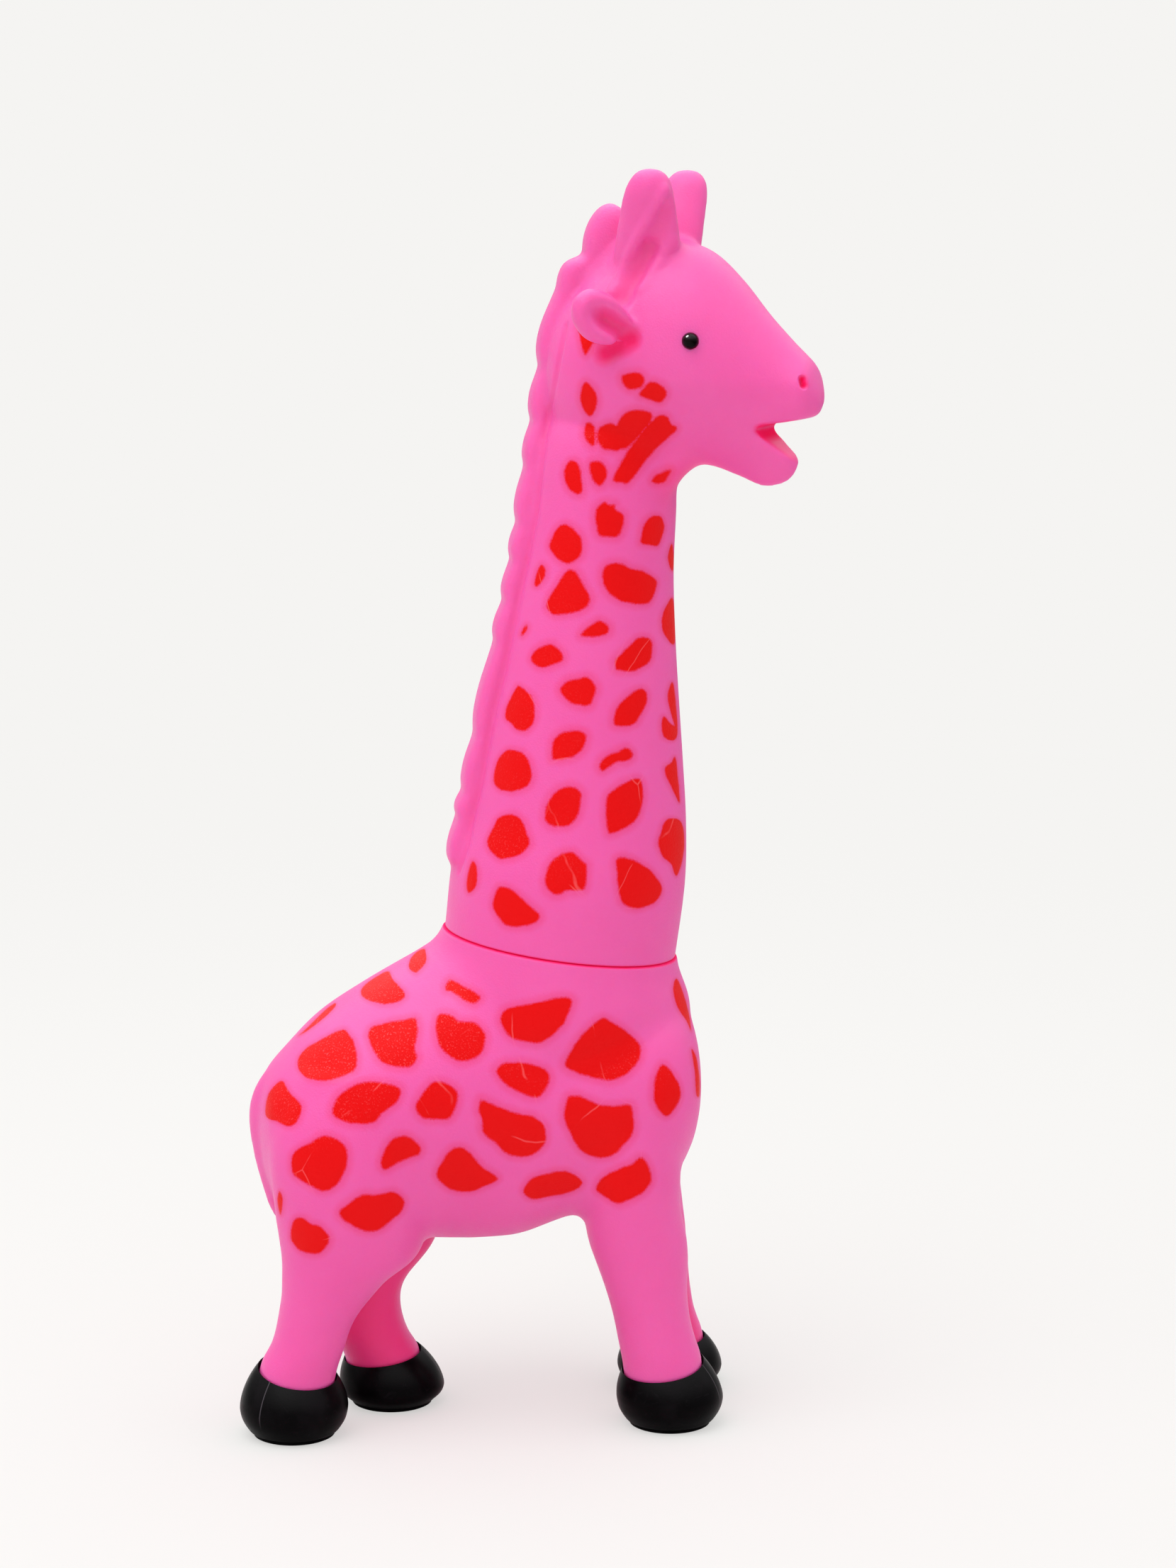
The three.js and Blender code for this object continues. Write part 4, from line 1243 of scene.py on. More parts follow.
@dataclass(frozen=True)
class PlainPlastic:
    """A moulded plastic with a faint cloudiness and moulding grain.

    Attributes:
        name: The material's name.
        colour: Its colour.
        cloudy: The colour of its cloudy places.
        roughness: From polished, 0, to dull, 1.
        ior: Its index of refraction.
        grain_mm: The width of its surface grain.
        specular: How bright its reflections are.
        clouds: The width of its clouds, in grains.
        spread: How much smoother and rougher the clouds are.
        bump: Strength for full roughness and depth in metres of the grain.
    """

    name: str
    colour: str
    cloudy: str
    roughness: float
    ior: float
    grain_mm: float
    specular: float = 0.5
    clouds: float = 8.0
    spread: Span = (0.85, 1.15)
    bump: Span = (0.25, 0.0001)

    def material(self) -> bpy.types.Material:
        """Makes the material.

        Returns:
            The plastic.
        """
        made = new_material(self.name)
        tree = made.node_tree
        at = add_node(tree, "ShaderNodeTexCoord").outputs["Object"]
        cloud, grain = (
            add_node(tree, "ShaderNodeTexNoise", {
                "Vector": at, "Scale": MM_IN_METRE / width, "Detail": detail})
            for width, detail in ((self.clouds * self.grain_mm, 3.0), (self.grain_mm, 2.0)))
        colour = add_node(tree, "ShaderNodeMix", {
            0: cloud.outputs["Fac"], 6: hex_linear(self.colour), 7: hex_linear(self.cloudy)},
            data_type="RGBA")
        smooth, rough = (share * self.roughness for share in self.spread)
        gloss = add_node(tree, "ShaderNodeMapRange", {
            "Value": cloud.outputs["Fac"], "To Min": smooth, "To Max": rough})
        bump = add_node(tree, "ShaderNodeBump", {
            "Height": grain.outputs["Fac"], "Strength": self.bump[0] * self.roughness,
            "Distance": self.bump[1]})
        shader = add_node(tree, "ShaderNodeBsdfPrincipled", {
            "Base Color": colour.outputs[2], "Roughness": gloss.outputs[0],
            "Normal": bump.outputs[0], "IOR": self.ior, "Specular IOR Level": self.specular})
        add_node(tree, "ShaderNodeOutputMaterial", {"Surface": shader.outputs[0]})
        return made


# Polished acrylic: a small sharp highlight on a deep black.
BEAD = PlainPlastic("acrylic_polished_black", "#020102", "#080404", 0.06, 1.49, 0.6, 0.07)
# Natural polyethylene: milky and waxy, from a fine-textured mould.
CUP_PLASTIC = PlainPlastic("polyethylene_natural_moulded", "#E8E8E2", "#F1F0EB", 0.45, 1.51, 0.5)
# Thin polyester film: clear grey and glossy.
REED_FILM = PlainPlastic("polyester_film_strip", "#C9C5BC", "#D6D2C9", 0.18, 1.57, 0.8)


# ---------------------------------------------------------------- castings


def frame_offset() -> Vector:
    """Gives the way from the sculptor's origin to the solids', by the seam on the joint."""
    return Vector(frame["joints"][0]["pos_m"]) - SEAM.middle / MM_IN_METRE


def settle(
    obj: bpy.types.Object, finish: bpy.types.Material, body: str, node: str
) -> None:
    """Puts a finished piece into the frame of the solids.

    Args:
        obj: The piece, in the sculptor's millimetres.
        finish: Its material.
        body: The body that it rides on.
        node: The CAD node that it stands for.
    """
    place(obj, Matrix.Translation(frame_offset()) @ Matrix.Scale(1 / MM_IN_METRE, 4))
    obj.data.materials.clear()
    obj.data.materials.append(finish)
    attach(obj, body)
    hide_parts(node)
    LOG.info("%s: %d faces, rides on %s", obj.name, len(obj.data.polygons), body)


# The distance of a loft's rings: on the body and neck, on the head, and on its small forms.
BODY_PITCH = 2.0
HEAD_PITCH = 1.5
HORN_PITCH = 1.2
MANE_PITCH = 1.0
EAR_PITCH = 0.8
HOOF_PITCH = 0.7


@dataclass(frozen=True)
class LegShape:
    """One leg and the hoof on its end.

    Attributes:
        rows: The leg's rings from the top down: x, y, z, half size along and across.
        ankle: The rim of the hoof: x, y, z, half size along and across, lean in degrees.
        tilt: How much the rim drops towards the right, in millimetres to a millimetre.
        hoof: The hoof's middle on the table and its largest radius: x, y, radius.
        widest: The height of the largest radius.
        parting: The way of the mould's parting line across the hoof, in degrees from the x axis.
    """

    rows: Rows
    ankle: tuple[float, float, float, float, float, float]
    tilt: float
    hoof: Triple
    widest: float
    parting: float

    def rings(self, foot: float) -> np.ndarray:
        """The leg's rings, run on down into its hoof.

        Args:
            foot: Where the loft ends.

        Returns:
            Closely set rings.
        """
        x, y, _, along, across, _ = self.ankle
        rows = [(*row, 0.0) for row in self.rows] + [self.ankle, (x, y, foot, along, across, 0.0)]
        return glide(rows, BODY_PITCH)


LEG_SET: dict[Leg, LegShape] = {
    Leg.FRONT_RIGHT: LegShape(
        ((24, -13, 94, 11, 11), (26, -15.2, 80, 13.7, 13.3), (26.6, -16, 64, 12.6, 12.5),
         (27.6, -16.2, 53, 11.6, 11.3), (29.1, -16, 45, 11.7, 10.5), (30.1, -15.9, 40, 11.0, 10),
         (31.1, -15.8, 33.7, 9.8, 9.5), (32.3, -15.7, 27, 9.1, 9.1),
         (33.6, -15.6, 21, 9.2, 9.2)),
        (35.2, -15.5, 14.1, 9.4, 9.4, -8), 0.115, (36.9, -15.5, 12.6), 6.3, -28),
    Leg.FRONT_LEFT: LegShape(
        ((25.6, 13, 94, 11, 11), (28.7, 15.5, 80, 14.5, 13.5), (29.8, 16, 64, 13.3, 12.6),
         (32, 15.6, 51, 11.7, 11), (34.3, 14.8, 40, 10.6, 9.8), (36.2, 14, 27, 9.6, 9.3),
         (37.5, 13.8, 19, 9.5, 9.2)),
        (39.8, 13.5, 11.2, 9.5, 9.4, -6), 0.0, (41, 13.5, 12.7), 4.8, 10),
    Leg.REAR_RIGHT: LegShape(
        ((-36, -12.4, 88, 14, 12), (-37.4, -14.4, 72, 19.2, 14.6), (-37.6, -14.8, 56, 18.4, 14),
         (-38.5, -14.2, 43, 15.9, 12), (-41.9, -13.8, 37.6, 12.5, 10.8),
         (-43.7, -13.6, 33.6, 10.8, 10), (-45.7, -13.4, 29.5, 9.5, 9.5),
         (-47.1, -13.2, 25.5, 8.8, 9.1), (-48.3, -13.1, 21.5, 8.8, 9.2)),
        (-50.9, -13, 15.0, 9.0, 9.1, 8), 0.16, (-51.8, -13, 12.7), 6.6, 48),
    Leg.REAR_LEFT: LegShape(
        ((-34, 12, 88, 14, 12), (-36, 14, 72, 20, 14.6), (-35, 14, 56, 20.4, 14),
         (-33.6, 12.4, 43, 18.6, 12), (-34, 11.2, 38.4, 17.3, 11), (-34.6, 10.8, 35, 15.2, 10.6),
         (-35, 10.2, 31, 11.9, 10), (-34.8, 9.6, 27.5, 10, 9.7), (-34.2, 9.1, 24, 9.3, 9.4),
         (-33.2, 8.7, 20, 9.1, 9.3), (-31.7, 8.3, 16.5, 9, 9.2)),
        (-29.4, 8, 12.0, 9.0, 9.1, -7), 0.04, (-27.2, 8, 12.5), 4.2, -12),
}


@dataclass
class BodyCasting:
    """The lower casting: torso, seat of the neck, legs and tail, as one vinyl skin."""

    voxel: float = 0.72
    soften_rounds: int = 36
    fillet_rounds: int = 240
    fillet_depth: float = 0.3
    crease_angle: float = 50.0
    leg_foot: float = 1.0
    leg_end: float = 9.7
    seat_room: float = 0.4
    seat_rise: float = 12.0
    # painted shade on the inner sides of the legs, where they shade each other, and the heights at
    # which it ends and is full
    leg_shade: float = 0.58
    leg_shade_turn: float = 1.6
    leg_shade_middle: float = 3.0
    leg_shade_heights: Span = (47.0, 39.0)
    # stations of the torso: x, top, bottom, half width; rings of the other forms
    torso: Rows = (
        (-59.4, 76, 73, 1), (-57, 83.4, 59, 15), (-50.8, 90.8, 50.5, 23), (-44, 97.6, 46.4, 26.5),
        (-33, 104.9, 44.6, 28), (-20, 112.3, 43.6, 28), (-13, 116.4, 43.2, 28.2),
        (-4, 117.6, 43.0, 28.5), (3, 114.5, 44.0, 29), (10, 112, 46.6, 29.3),
        (17, 111.5, 48.8, 29.3), (24, 111, 49.6, 29.3), (34, 108, 52, 27.5), (41, 101, 60, 22),
        (44.4, 92, 70, 14), (45.4, 83, 81, 1))
    pedestal: Rows = ((11.9, 0, 78, 27.4, 25, 0), (12.3, 0, 97, 31.2, 29, 0))
    tail: Rows = (
        (-49, 0, 90, 2, 3, 0), (-55.6, 0, 82, 3, 4.4, 0), (-57.8, 0, 75, 3.2, 4.6, 0),
        (-56.9, 0, 65, 3.2, 4.2, 0), (-55.0, 0, 57, 3.2, 3.8, 0), (-53.2, 0, 50.5, 2.9, 3.4, 0),
        (-50.6, 0, 45, 1.8, 2.2, 0))
    pocket: Rows = (
        (-4, 0, 30, 8.7, 8.7, 0), (-4, 0, 47.6, 8.7, 8.7, 0), (-4, 0, 47.601, 6.3, 6.3, 0),
        (-4, 0, 60.6, 6.3, 6.3, 0))

    def build(self) -> bpy.types.Object:
        """Models the casting.

        Returns:
            The skin, in the sculptor's frame.
        """
        seat = [*self.pedestal, SEAM.ring(0, SEAM.radius + self.seat_room),
                SEAM.ring(self.seat_rise, SEAM.radius)]
        forms = [
            loft("torso", glide([upright(*row) for row in self.torso], BODY_PITCH), sides=72),
            loft("seat", glide(seat, BODY_PITCH), sides=72),
            loft("tail", glide(self.tail, HEAD_PITCH), sides=24)]
        forms += [loft(leg.value, made.rings(self.leg_foot), sides=48)
                  for leg, made in LEG_SET.items()]
        skin = join("body_vinyl", forms)
        shape(skin, "REMESH", mode="VOXEL", voxel_size=self.voxel, use_smooth_shade=True)
        relax(skin, self.soften_rounds)
        relax(skin, self.fillet_rounds, ramp(hollow_depth(skin), 0.0, self.fillet_depth))
        SEAM.trim(skin, upper=False)
        cut_plane(skin, Vector((0, 0, self.leg_end)), Vector((0, 0, -1)), remove=True)
        cut_away(skin, loft("pocket", self.pocket, sides=64))
        return skin

    def dress(self, finish: bpy.types.Material) -> None:
        """Builds the casting, sprays its spots and settles it.

        Args:
            finish: The vinyl.
        """
        skin = self.build()
        SPOTS.spray(skin, BODY_SPOTS)
        # Painted shade in the seam's groove and on the inner sides of the legs.
        points, across = points_of(skin), normals_of(skin)[:, 1]
        inner = np.maximum(-across * (points[:, 1] > -self.leg_shade_middle),
                           across * (points[:, 1] < self.leg_shade_middle))
        between = np.clip(self.leg_shade_turn * inner, 0, 1) * ramp(points[:, 2], *self.leg_shade_heights)
        mark(skin, "painted_shade", np.maximum(SEAM.painted_shade(points), self.leg_shade * between))
        smooth_faces(skin, self.crease_angle)
        settle(skin, finish, "body", "body_shell")


@dataclass
class NeckHeadCasting:
    """The upper casting: neck, head, horns, ears and mane, as one vinyl skin."""

    voxel: float = 0.65
    soften_rounds: int = 9
    crease_angle: float = 50.0
    stem_drop: float = 12.0
    # the bow of the throat round the neck: x of its middle, radius, height; turns in degrees
    throat_rounds: int = 220
    throat_arc: Triple = (23.7, 16.0, 226.0)
    throat_turns: Triple = (-90.0, 35.0, 5.0)
    throat_reach: float = 8.5
    throat_core: float = 1.15
    # the hollows at the feet of the horns, in the head's frame
    brow_rounds: int = 260
    horn_feet: Rows = ((16, 6.5, 273), (8, 6.5, 269))
    foot_reach: float = 6.0
    foot_core: float = 2.2
    foot_depth: float = 0.3
    lip_rounds: int = 30
    lip_reach: float = 2.0
    lip_core: float = 1.4
    eye_reach: float = 4.0
    eye_room: float = 0.12
    # how the jaw narrows: where that begins and where it is full, down and along the head
    jaw_taper: float = 0.5
    jaw_heights: Span = (246.0, 226.0)
    jaw_run: Span = (6.0, 28.0)
    # painted shade under the jaw and in the mouth: where it ends and where it is full
    jaw_shade: float = 0.45
    jaw_shade_top: Span = (238.0, 224.0)
    jaw_shade_bottom: Span = (205.0, 215.0)
    jaw_shade_back: Span = (6.0, 12.0)
    jaw_shade_front: Span = (34.0, 20.0)
    jaw_shade_slope: float = 0.3
    mouth_front: Span = (49.5, 45.5)
    mouth_corner: Span = (41.5, 39.5)
    mouth_rest: float = 0.45
    mouth_skin: float = 1.3
    mouth_turn: Span = (1.3, 1.6)
    painted_shade_core: float = 1.25
    # rings of the neck, a horn and the mane; stations of the skull and the mouth's wedge
    neck: Rows = (
        (14.8, 0, 131, 27.4, 27.2, 5), (16.6, 0, 144, 25.7, 25.2, 3), (17.5, 0, 157, 24, 23.4, 1),
        (18.4, 0, 170, 22.2, 21.6, 0), (19.6, 0, 185, 20.1, 19.6, 0), (21, 0, 201, 18.2, 17.8, 0),
        (22.8, 0, 217, 17, 16.6, 0), (24.2, 0, 232, 15.6, 15.4, 0), (26, 0, 246, 10, 10, 0))
    skull: Rows = (
        (-14, 250, 246, 1.5), (-11.5, 258.5, 234, 9), (-6, 266.5, 227, 13.8),
        (2, 272.6, 224.5, 16.4), (10, 275.9, 224.5, 17.2), (18, 277.2, 226, 17),
        (25, 275, 226.4, 15.8), (32, 269, 224.3, 13.2), (39, 261, 222.1, 10.4),
        (45, 254.9, 224.6, 8.6), (47.8, 252.2, 231.0, 7.9), (50, 249.6, 236.4, 6.6),
        (51.8, 244.5, 240.5, 2.4))
    horn: Rows = (
        (10.8, 3.4, 262, 8.2, 5.6, 0), (11.9, 6.0, 274, 8, 5.4, 0), (13, 8.4, 281.5, 7, 5, 0),
        (14.1, 10.9, 288.2, 5.7, 4.7, 0), (14.5, 11.4, 290.6, 4.9, 4.1, 0),
        (14.7, 11.7, 292.3, 3.7, 3.2, 0), (14.7, 11.8, 293.3, 2.3, 1.9, 0),
        (14.7, 11.8, 293.65, 0.5, 0.5, 0))
    far_horn_drop: float = 0.7
    mouth: Rows = (
        (37.8, 236, 235.2, 30), (39.2, 236.5, 234.1, 30), (42, 236.8, 231.8, 30),
        (61, 240, 217.4, 30))
    mane: Rows = (
        (-12.2, 0, 131, 1.6, 6, 4), (-10.6, 0, 138, 2.8, 6, 4), (-6.7, 0, 155, 3.1, 6, 4),
        (-3.6, 0, 170, 3.2, 6, 4), (0.2, 0, 187, 3, 6, 4), (3.4, 0.6, 203, 2.8, 6, 4),
        (6, 1.8, 218, 3, 6, 5), (8.2, 3.2, 230, 3.2, 6, 6), (10.8, 4.6, 243, 3.9, 6, 10),
        (13.4, 5, 256, 4.4, 6, 20), (17.8, 4, 266, 5.4, 6, 38), (23, 2, 271.6, 7.4, 6, 52),
        (27.6, 0.4, 275.6, 10, 6, 66), (32, -1, 276, 9, 6, 82))
    # notches of the mane: pixel in the photograph, depth
    lobe_cusps: Rows = (
        (641, 1230, 0.8), (647, 1149, 0.9), (654, 1112, 1.0), (670, 1030, 1.0), (701, 899, 0.9),
        (711, 842, 1.0), (720, 786, 0.8), (730, 737, 1.1), (741, 655, 0.9), (750, 592, 1.1),
        (758, 516, 1.3), (787, 412, 0.6), (828, 364, 3.2))
    lobe_crown: float = 0.35
    lobe_hang: Span = (1.5, 1.3)
    last_cusp: Span = (4.0, 0.5)
    mane_taper: Span = (0.35, 5.0)
    gullet: Rows = (
        (33, -6, 215, 2, 4, 0), (34.2, -6.4, 219.5, 3.4, 6, 0), (36, -7.2, 223.5, 4.6, 7, 0),
        (38.6, -8.2, 227.5, 5.6, 8, 0), (40.5, -8.6, 234, 5, 7, 0))
    ear_place: Triple = (14.0, 13.9, 256.6)
    ear_tip: Triple = (-0.62, 0.66, 0.42)
    ear_front: Triple = (0.7, 0.7, -0.1)
    ear_leaf: Rows = (
        (-1.4, 0, -4, 2.2, 3.0, 0), (-1.3, 0, 0, 2.3, 3.4, 0), (-1.1, 0, 4, 2.9, 3.9, 0),
        (-1.1, 0, 8, 4.8, 4.2, 0), (-0.8, 0, 12, 5.7, 4.1, 0), (-0.4, 0, 15.4, 4.9, 3.3, 0),
        (-0.1, 0, 17.6, 3.4, 2.3, 0), (0, 0, 19, 0.9, 0.8, 0))
    ear_hollow: float = 5.2
    ear_lip: float = 4.0
    # how much shade is painted in the ears' hollows
    ear_shade: float = 0.5
    ear_channel: Span = (-0.5, 2.5)
    # how the channel bends and about which place, where it ends and where it is full
    ear_bend: Span = (0.1, 12.0)
    ear_ends: tuple[Span, Span] = ((17.0, 11.0), (-3.0, 1.0))
    # reach of the painted shade in the ears' hollows and of the leaf: along, across, before and
    # behind
    ear_shade_reach: Triple = (9.0, 1.5, 3.0)
    ear_box: tuple[float, float, float, float] = (5.0, 22.0, 8.0, 5.5)
    # the paths of painted shade that the strokes leave
    shade_paths: list[ShadePath] = field(default_factory=list)
    strokes: tuple[Stroke, ...] = (
        # front face of the horn, hollow down to the ear, with a little painted shade
        Stroke(((938, 300), (928, 324), (917, 348)), 3.8, -0.9, 0.2, Reach.SEEN),
        Stroke(((916, 350), (904, 378), (892, 402), (880, 422)), 3.4, -1.4, 0.3),
        # ridges from the horn's tip to the ear and from its foot over the brow
        Stroke(((938, 268), (922, 297), (902, 331), (886, 362), (875, 388), (863, 412)),
                2.0, 0.8, 0, Reach.SEEN),
        Stroke(((950, 342), (936, 360), (920, 382), (904, 406)), 2.6, 0.5, 0, Reach.SEEN),
        # fold under the ear, painted with the ear's shadow
        Stroke(((890, 479), (873, 488), (856, 498)), 3.4, -1.3, 0.85),
        # nostril, its pit painted with shade
        Stroke(((1132, 535), (1134, 543)), 1.25, -1.7, 1.0, fine=True),
        # crease between the mane and the neck, with a line of painted shade
        Stroke(((798, 460), (780, 556), (770, 608), (758, 720), (744, 790), (732, 840), (720, 900),
                (710, 950),
                (698, 996), (690, 1036), (678, 1110), (668, 1146), (660, 1192), (648, 1228)),
                1.5, -0.45, 0.2, Reach.BODY),
    )

    def mane_form(self) -> bpy.types.Object:
        """Lofts the mane on the back of the neck, in lobes that hang over one another.

        Returns:
            The mane's form.
        """
        rings = glide(self.mane, MANE_PITCH)
        steps = np.linalg.norm(np.diff(rings[:, :3], axis=0), axis=1)
        run = np.concatenate([[0], np.cumsum(steps)])
        cusps = []
        for x, y, notch in self.lobe_cusps:
            away = rings[:, [0, 2]] - PHOTO.on_plane((x, y), 0.0)[[0, 2]]
            cusps.append((run[np.argmin(np.linalg.norm(away, axis=1))], notch))
        beyond, notch = self.last_cusp
        cusps.append((run[-1] + beyond, notch))
        hang, sharp = self.lobe_hang
        for (low, low_notch), (high, high_notch) in zip(cusps, cusps[1:]):
            span = (run >= low) & (run < high)
            down = 1 - (run[span] - low) / max(high - low, TINY)
            notch = low_notch * down + high_notch * (1 - down)
            sunk = (1 - np.sin(math.pi * down**hang)) ** sharp
            rings[span, 3] += self.lobe_crown * notch - notch * sunk
        least, taper = self.mane_taper
        ends = np.clip(least + np.minimum(run, run[-1] - run) / taper, 0, 1)
        rings[:, 3:5] *= ends[:, None]
        return loft("mane", rings, sides=40, squareness=0.55)

    def ear_form(self, side: Side) -> bpy.types.Object:
        """Lofts one ear as a leaf and hollows its front.

        Args:
            side: The ear's side of the head.

        Returns:
            The ear's form, in the toy's frame.
        """
        rows = [(side.value * x, *rest) for x, *rest in self.ear_leaf]
        leaf = loft("ear", glide(rows, EAR_PITCH), sides=64, squareness=0.8)
        points = points_of(leaf)
        lift = ramp(points[:, 1], 0.0, self.ear_lip)
        points[:, 1] -= self.ear_hollow * self.ear_cup(points, side) * lift
        move_points(leaf, points)
        return place(leaf, self.ear_matrix(side))

    def ear_cup(self, points: np.ndarray, side: Side) -> np.ndarray:
        """Finds how deep points lie in an ear's channel, which runs under its upper rim.

        Args:
            points: Points in the ear's frame.
            side: The ear's side of the head.

        Returns:
            1 in the middle of the channel, 0 outside it.
        """
        middle, width = self.ear_channel
        bend, about = self.ear_bend
        tip, root = self.ear_ends
        bed = middle + bend * (points[:, 2] - about)
        along = ramp(points[:, 2], *tip) * ramp(points[:, 2], *root)
        return np.exp(-(((points[:, 0] * side.value - bed) / width) ** 2)) * along

    def ear_matrix(self, side: Side) -> Matrix:
        """Gives an ear's frame: its front is y and its tip z.

        Args:
            side: The ear's side of the head.

        Returns:
            From the ear's frame to the toy's.
        """
        flip = Vector((1, side.value, 1))
        tip = (Vector(self.ear_tip) * flip).normalized()
        front = Vector(self.ear_front) * flip
        front = (front - tip * front.dot(tip)).normalized()
        turn = Matrix((front.cross(tip), front, tip)).transposed().to_4x4()
        return HEAD.matrix @ Matrix.Translation(Vector(self.ear_place) * flip) @ turn

    def ear_local(self, points: np.ndarray, side: Side) -> np.ndarray:
        """Gives points of the toy in an ear's frame."""
        back = np.array(self.ear_matrix(side).inverted())
        return points @ back[:3, :3].T + back[:3, 3]

    def on_ears(self, points: np.ndarray) -> np.ndarray:
        """Tells which points lie on the leaves of the ears."""
        root, tip, wide, thick = self.ear_box
        found = np.zeros(len(points), bool)
        for side in Side:
            across, ahead, along = self.ear_local(points, side).T
            leaf = (along > root) & (along < tip)
            found |= leaf & (np.abs(across) < wide) & (np.abs(ahead) < thick)
        return found

    def build(self) -> bpy.types.Object:
        """Models the casting.

        Returns:
            The skin, in the sculptor's frame.
        """
        stem = [SEAM.ring(-self.stem_drop, SEAM.radius), SEAM.ring(0, SEAM.radius), *self.neck]
        skull = loft("skull", glide([upright(*row) for row in self.skull], HEAD_PITCH), sides=64)
        points = points_of(skull)
        narrow = ramp(points[:, 2], *self.jaw_heights) * ramp(points[:, 0], *self.jaw_run)
        points[:, 1] *= 1 - self.jaw_taper * narrow
        move_points(skull, points)
        wedge = glide([upright(*row) for row in self.mouth], HEAD_PITCH)
        cut_away(skull, loft("mouth", wedge, sides=64))
        forms = [loft("neck", glide(stem, BODY_PITCH), sides=72), place(skull, HEAD.matrix),
                 self.mane_form(), loft("gullet", glide(self.gullet, HEAD_PITCH), sides=32)]
        for side in Side:
            drop = self.far_horn_drop if side is Side.LEFT else 0.0
            rows = [(x, side.value * y, z - drop, *rest) for x, y, z, *rest in self.horn]
            horn = loft("horn", glide(rows, HORN_PITCH), sides=40)
            forms += [place(horn, HEAD.matrix), self.ear_form(side)]
        skin = join("neck_head_vinyl", forms)
        shape(skin, "REMESH", mode="VOXEL", voxel_size=self.voxel, use_smooth_shade=True)
        self.soften(skin)
        for side in Side:
            refine(skin, HEAD.matrix @ BeadEyes().spot(side), self.eye_reach)
        self.shade_paths = sculpt(skin, self.strokes)
        SEAM.trim(skin, upper=True)
        return skin

    def soften(self, skin: bpy.types.Object) -> None:
        """Smooths the skin, and more at the throat, the feet of the horns and the lips.

        Args:
            skin: The skin, fresh from its forms.
        """
        relax(skin, self.soften_rounds)
        x, radius, z = self.throat_arc
        turns = np.radians(np.arange(*self.throat_turns))
        throat = np.stack(
            [x + radius * np.cos(turns), radius * np.sin(turns), np.full_like(turns, z)], axis=1)
        away = path_distance(points_of(skin), throat)
        relax(skin, self.throat_rounds, np.clip(self.throat_core - away / self.throat_reach, 0, 1))
        points = points_of(skin)
        near = np.zeros(len(points))
        for side in Side:
            for x, y, z in self.horn_feet:
                foot = np.array(HEAD.matrix @ Vector((x, side.value * y, z)))
                away = np.linalg.norm(points - foot, axis=1)
                near = np.maximum(near, np.clip(self.foot_core - away / self.foot_reach, 0, 1))
        relax(skin, self.brow_rounds, near * ramp(hollow_depth(skin), 0.0, self.foot_depth))
        away = self.mouth_distance(points_of(skin))
        relax(skin, self.lip_rounds, np.clip(self.lip_core - away / self.lip_reach, 0, 1))

    def mouth_distance(self, points: np.ndarray) -> np.ndarray:
        """Measures how far points lie from the walls of the mouth.

        Args:
            points: Points in the toy's frame.

        Returns:
            Their distances.
        """
        local = HEAD.local(points) * [1, 0, 1]
        roof = np.array([(x, 0, top) for x, top, _, _ in self.mouth], float)
        floor = np.array([(x, 0, bottom) for x, _, bottom, _ in self.mouth], float)
        return np.minimum(path_distance(local, roof), path_distance(local, floor))

    def painted_shade(self, skin: bpy.types.Object) -> np.ndarray:
        """Finds how much shade is painted in the folds of the skin: the seam, the strokes, the
        ears' hollows, the mouth and under the jaw.

        Args:
            skin: The finished skin.

        Returns:
            A value from 0 to 1 for each vertex.
        """
        points, normals = points_of(skin), normals_of(skin)
        found = SEAM.painted_shade(points)
        for path, reach, depth in self.shade_paths:
            near = np.clip(self.painted_shade_core - path_distance(points, path) / reach, 0, 1)
            found = np.maximum(found, depth * near)
        half, core, deep = self.ear_shade_reach
        for side in Side:
            local = self.ear_local(points, side)
            within = np.clip(core - np.abs(local[:, 2] - half) / half, 0, 1)
            within *= np.clip(deep - local[:, 1], 0, 1) * np.clip(local[:, 1] + deep, 0, 1)
            facing = np.clip(2 * normals @ np.array(self.ear_matrix(side).col[1][:3]), 0, 1)
            cup = self.ear_cup(local, side)
            found = np.maximum(found, self.ear_shade * cup * within * facing)
        ahead = HEAD.local(points)[:, 0]
        core, turn = self.mouth_turn
        inside = np.clip(self.mouth_skin - self.mouth_distance(points), 0, 1)
        inside *= np.clip(core - turn * np.abs((normals @ HEAD.axes)[:, 1]), 0, 1)
        inside *= ramp(ahead, *self.mouth_front)
        inside *= self.mouth_rest + (1 - self.mouth_rest) * ramp(ahead, *self.mouth_corner)
        below = self.jaw_shade * np.clip(self.jaw_shade_slope - normals[:, 2], 0, 1)
        below *= ramp(points[:, 2], *self.jaw_shade_top) * ramp(points[:, 2], *self.jaw_shade_bottom)
        below *= ramp(ahead, *self.jaw_shade_back) * ramp(ahead, *self.jaw_shade_front)
        return np.maximum(found, np.maximum(inside, below))

    def dress(self, finish: bpy.types.Material) -> None:
        """Builds the casting, sprays its spots and settles it.

        Args:
            finish: The vinyl.
        """
        skin = self.build()
        for side in Side:
            cut_away(skin, BeadEyes().form(side, self.eye_room))
        SPOTS.spray(skin, NECK_SPOTS, self.on_ears(points_of(skin)))
        # Painted shade in the folds, the mouth and under the jaw.
        mark(skin, "painted_shade", self.painted_shade(skin))
        smooth_faces(skin, self.crease_angle)
        settle(skin, finish, "neck", "neck_head_shell")


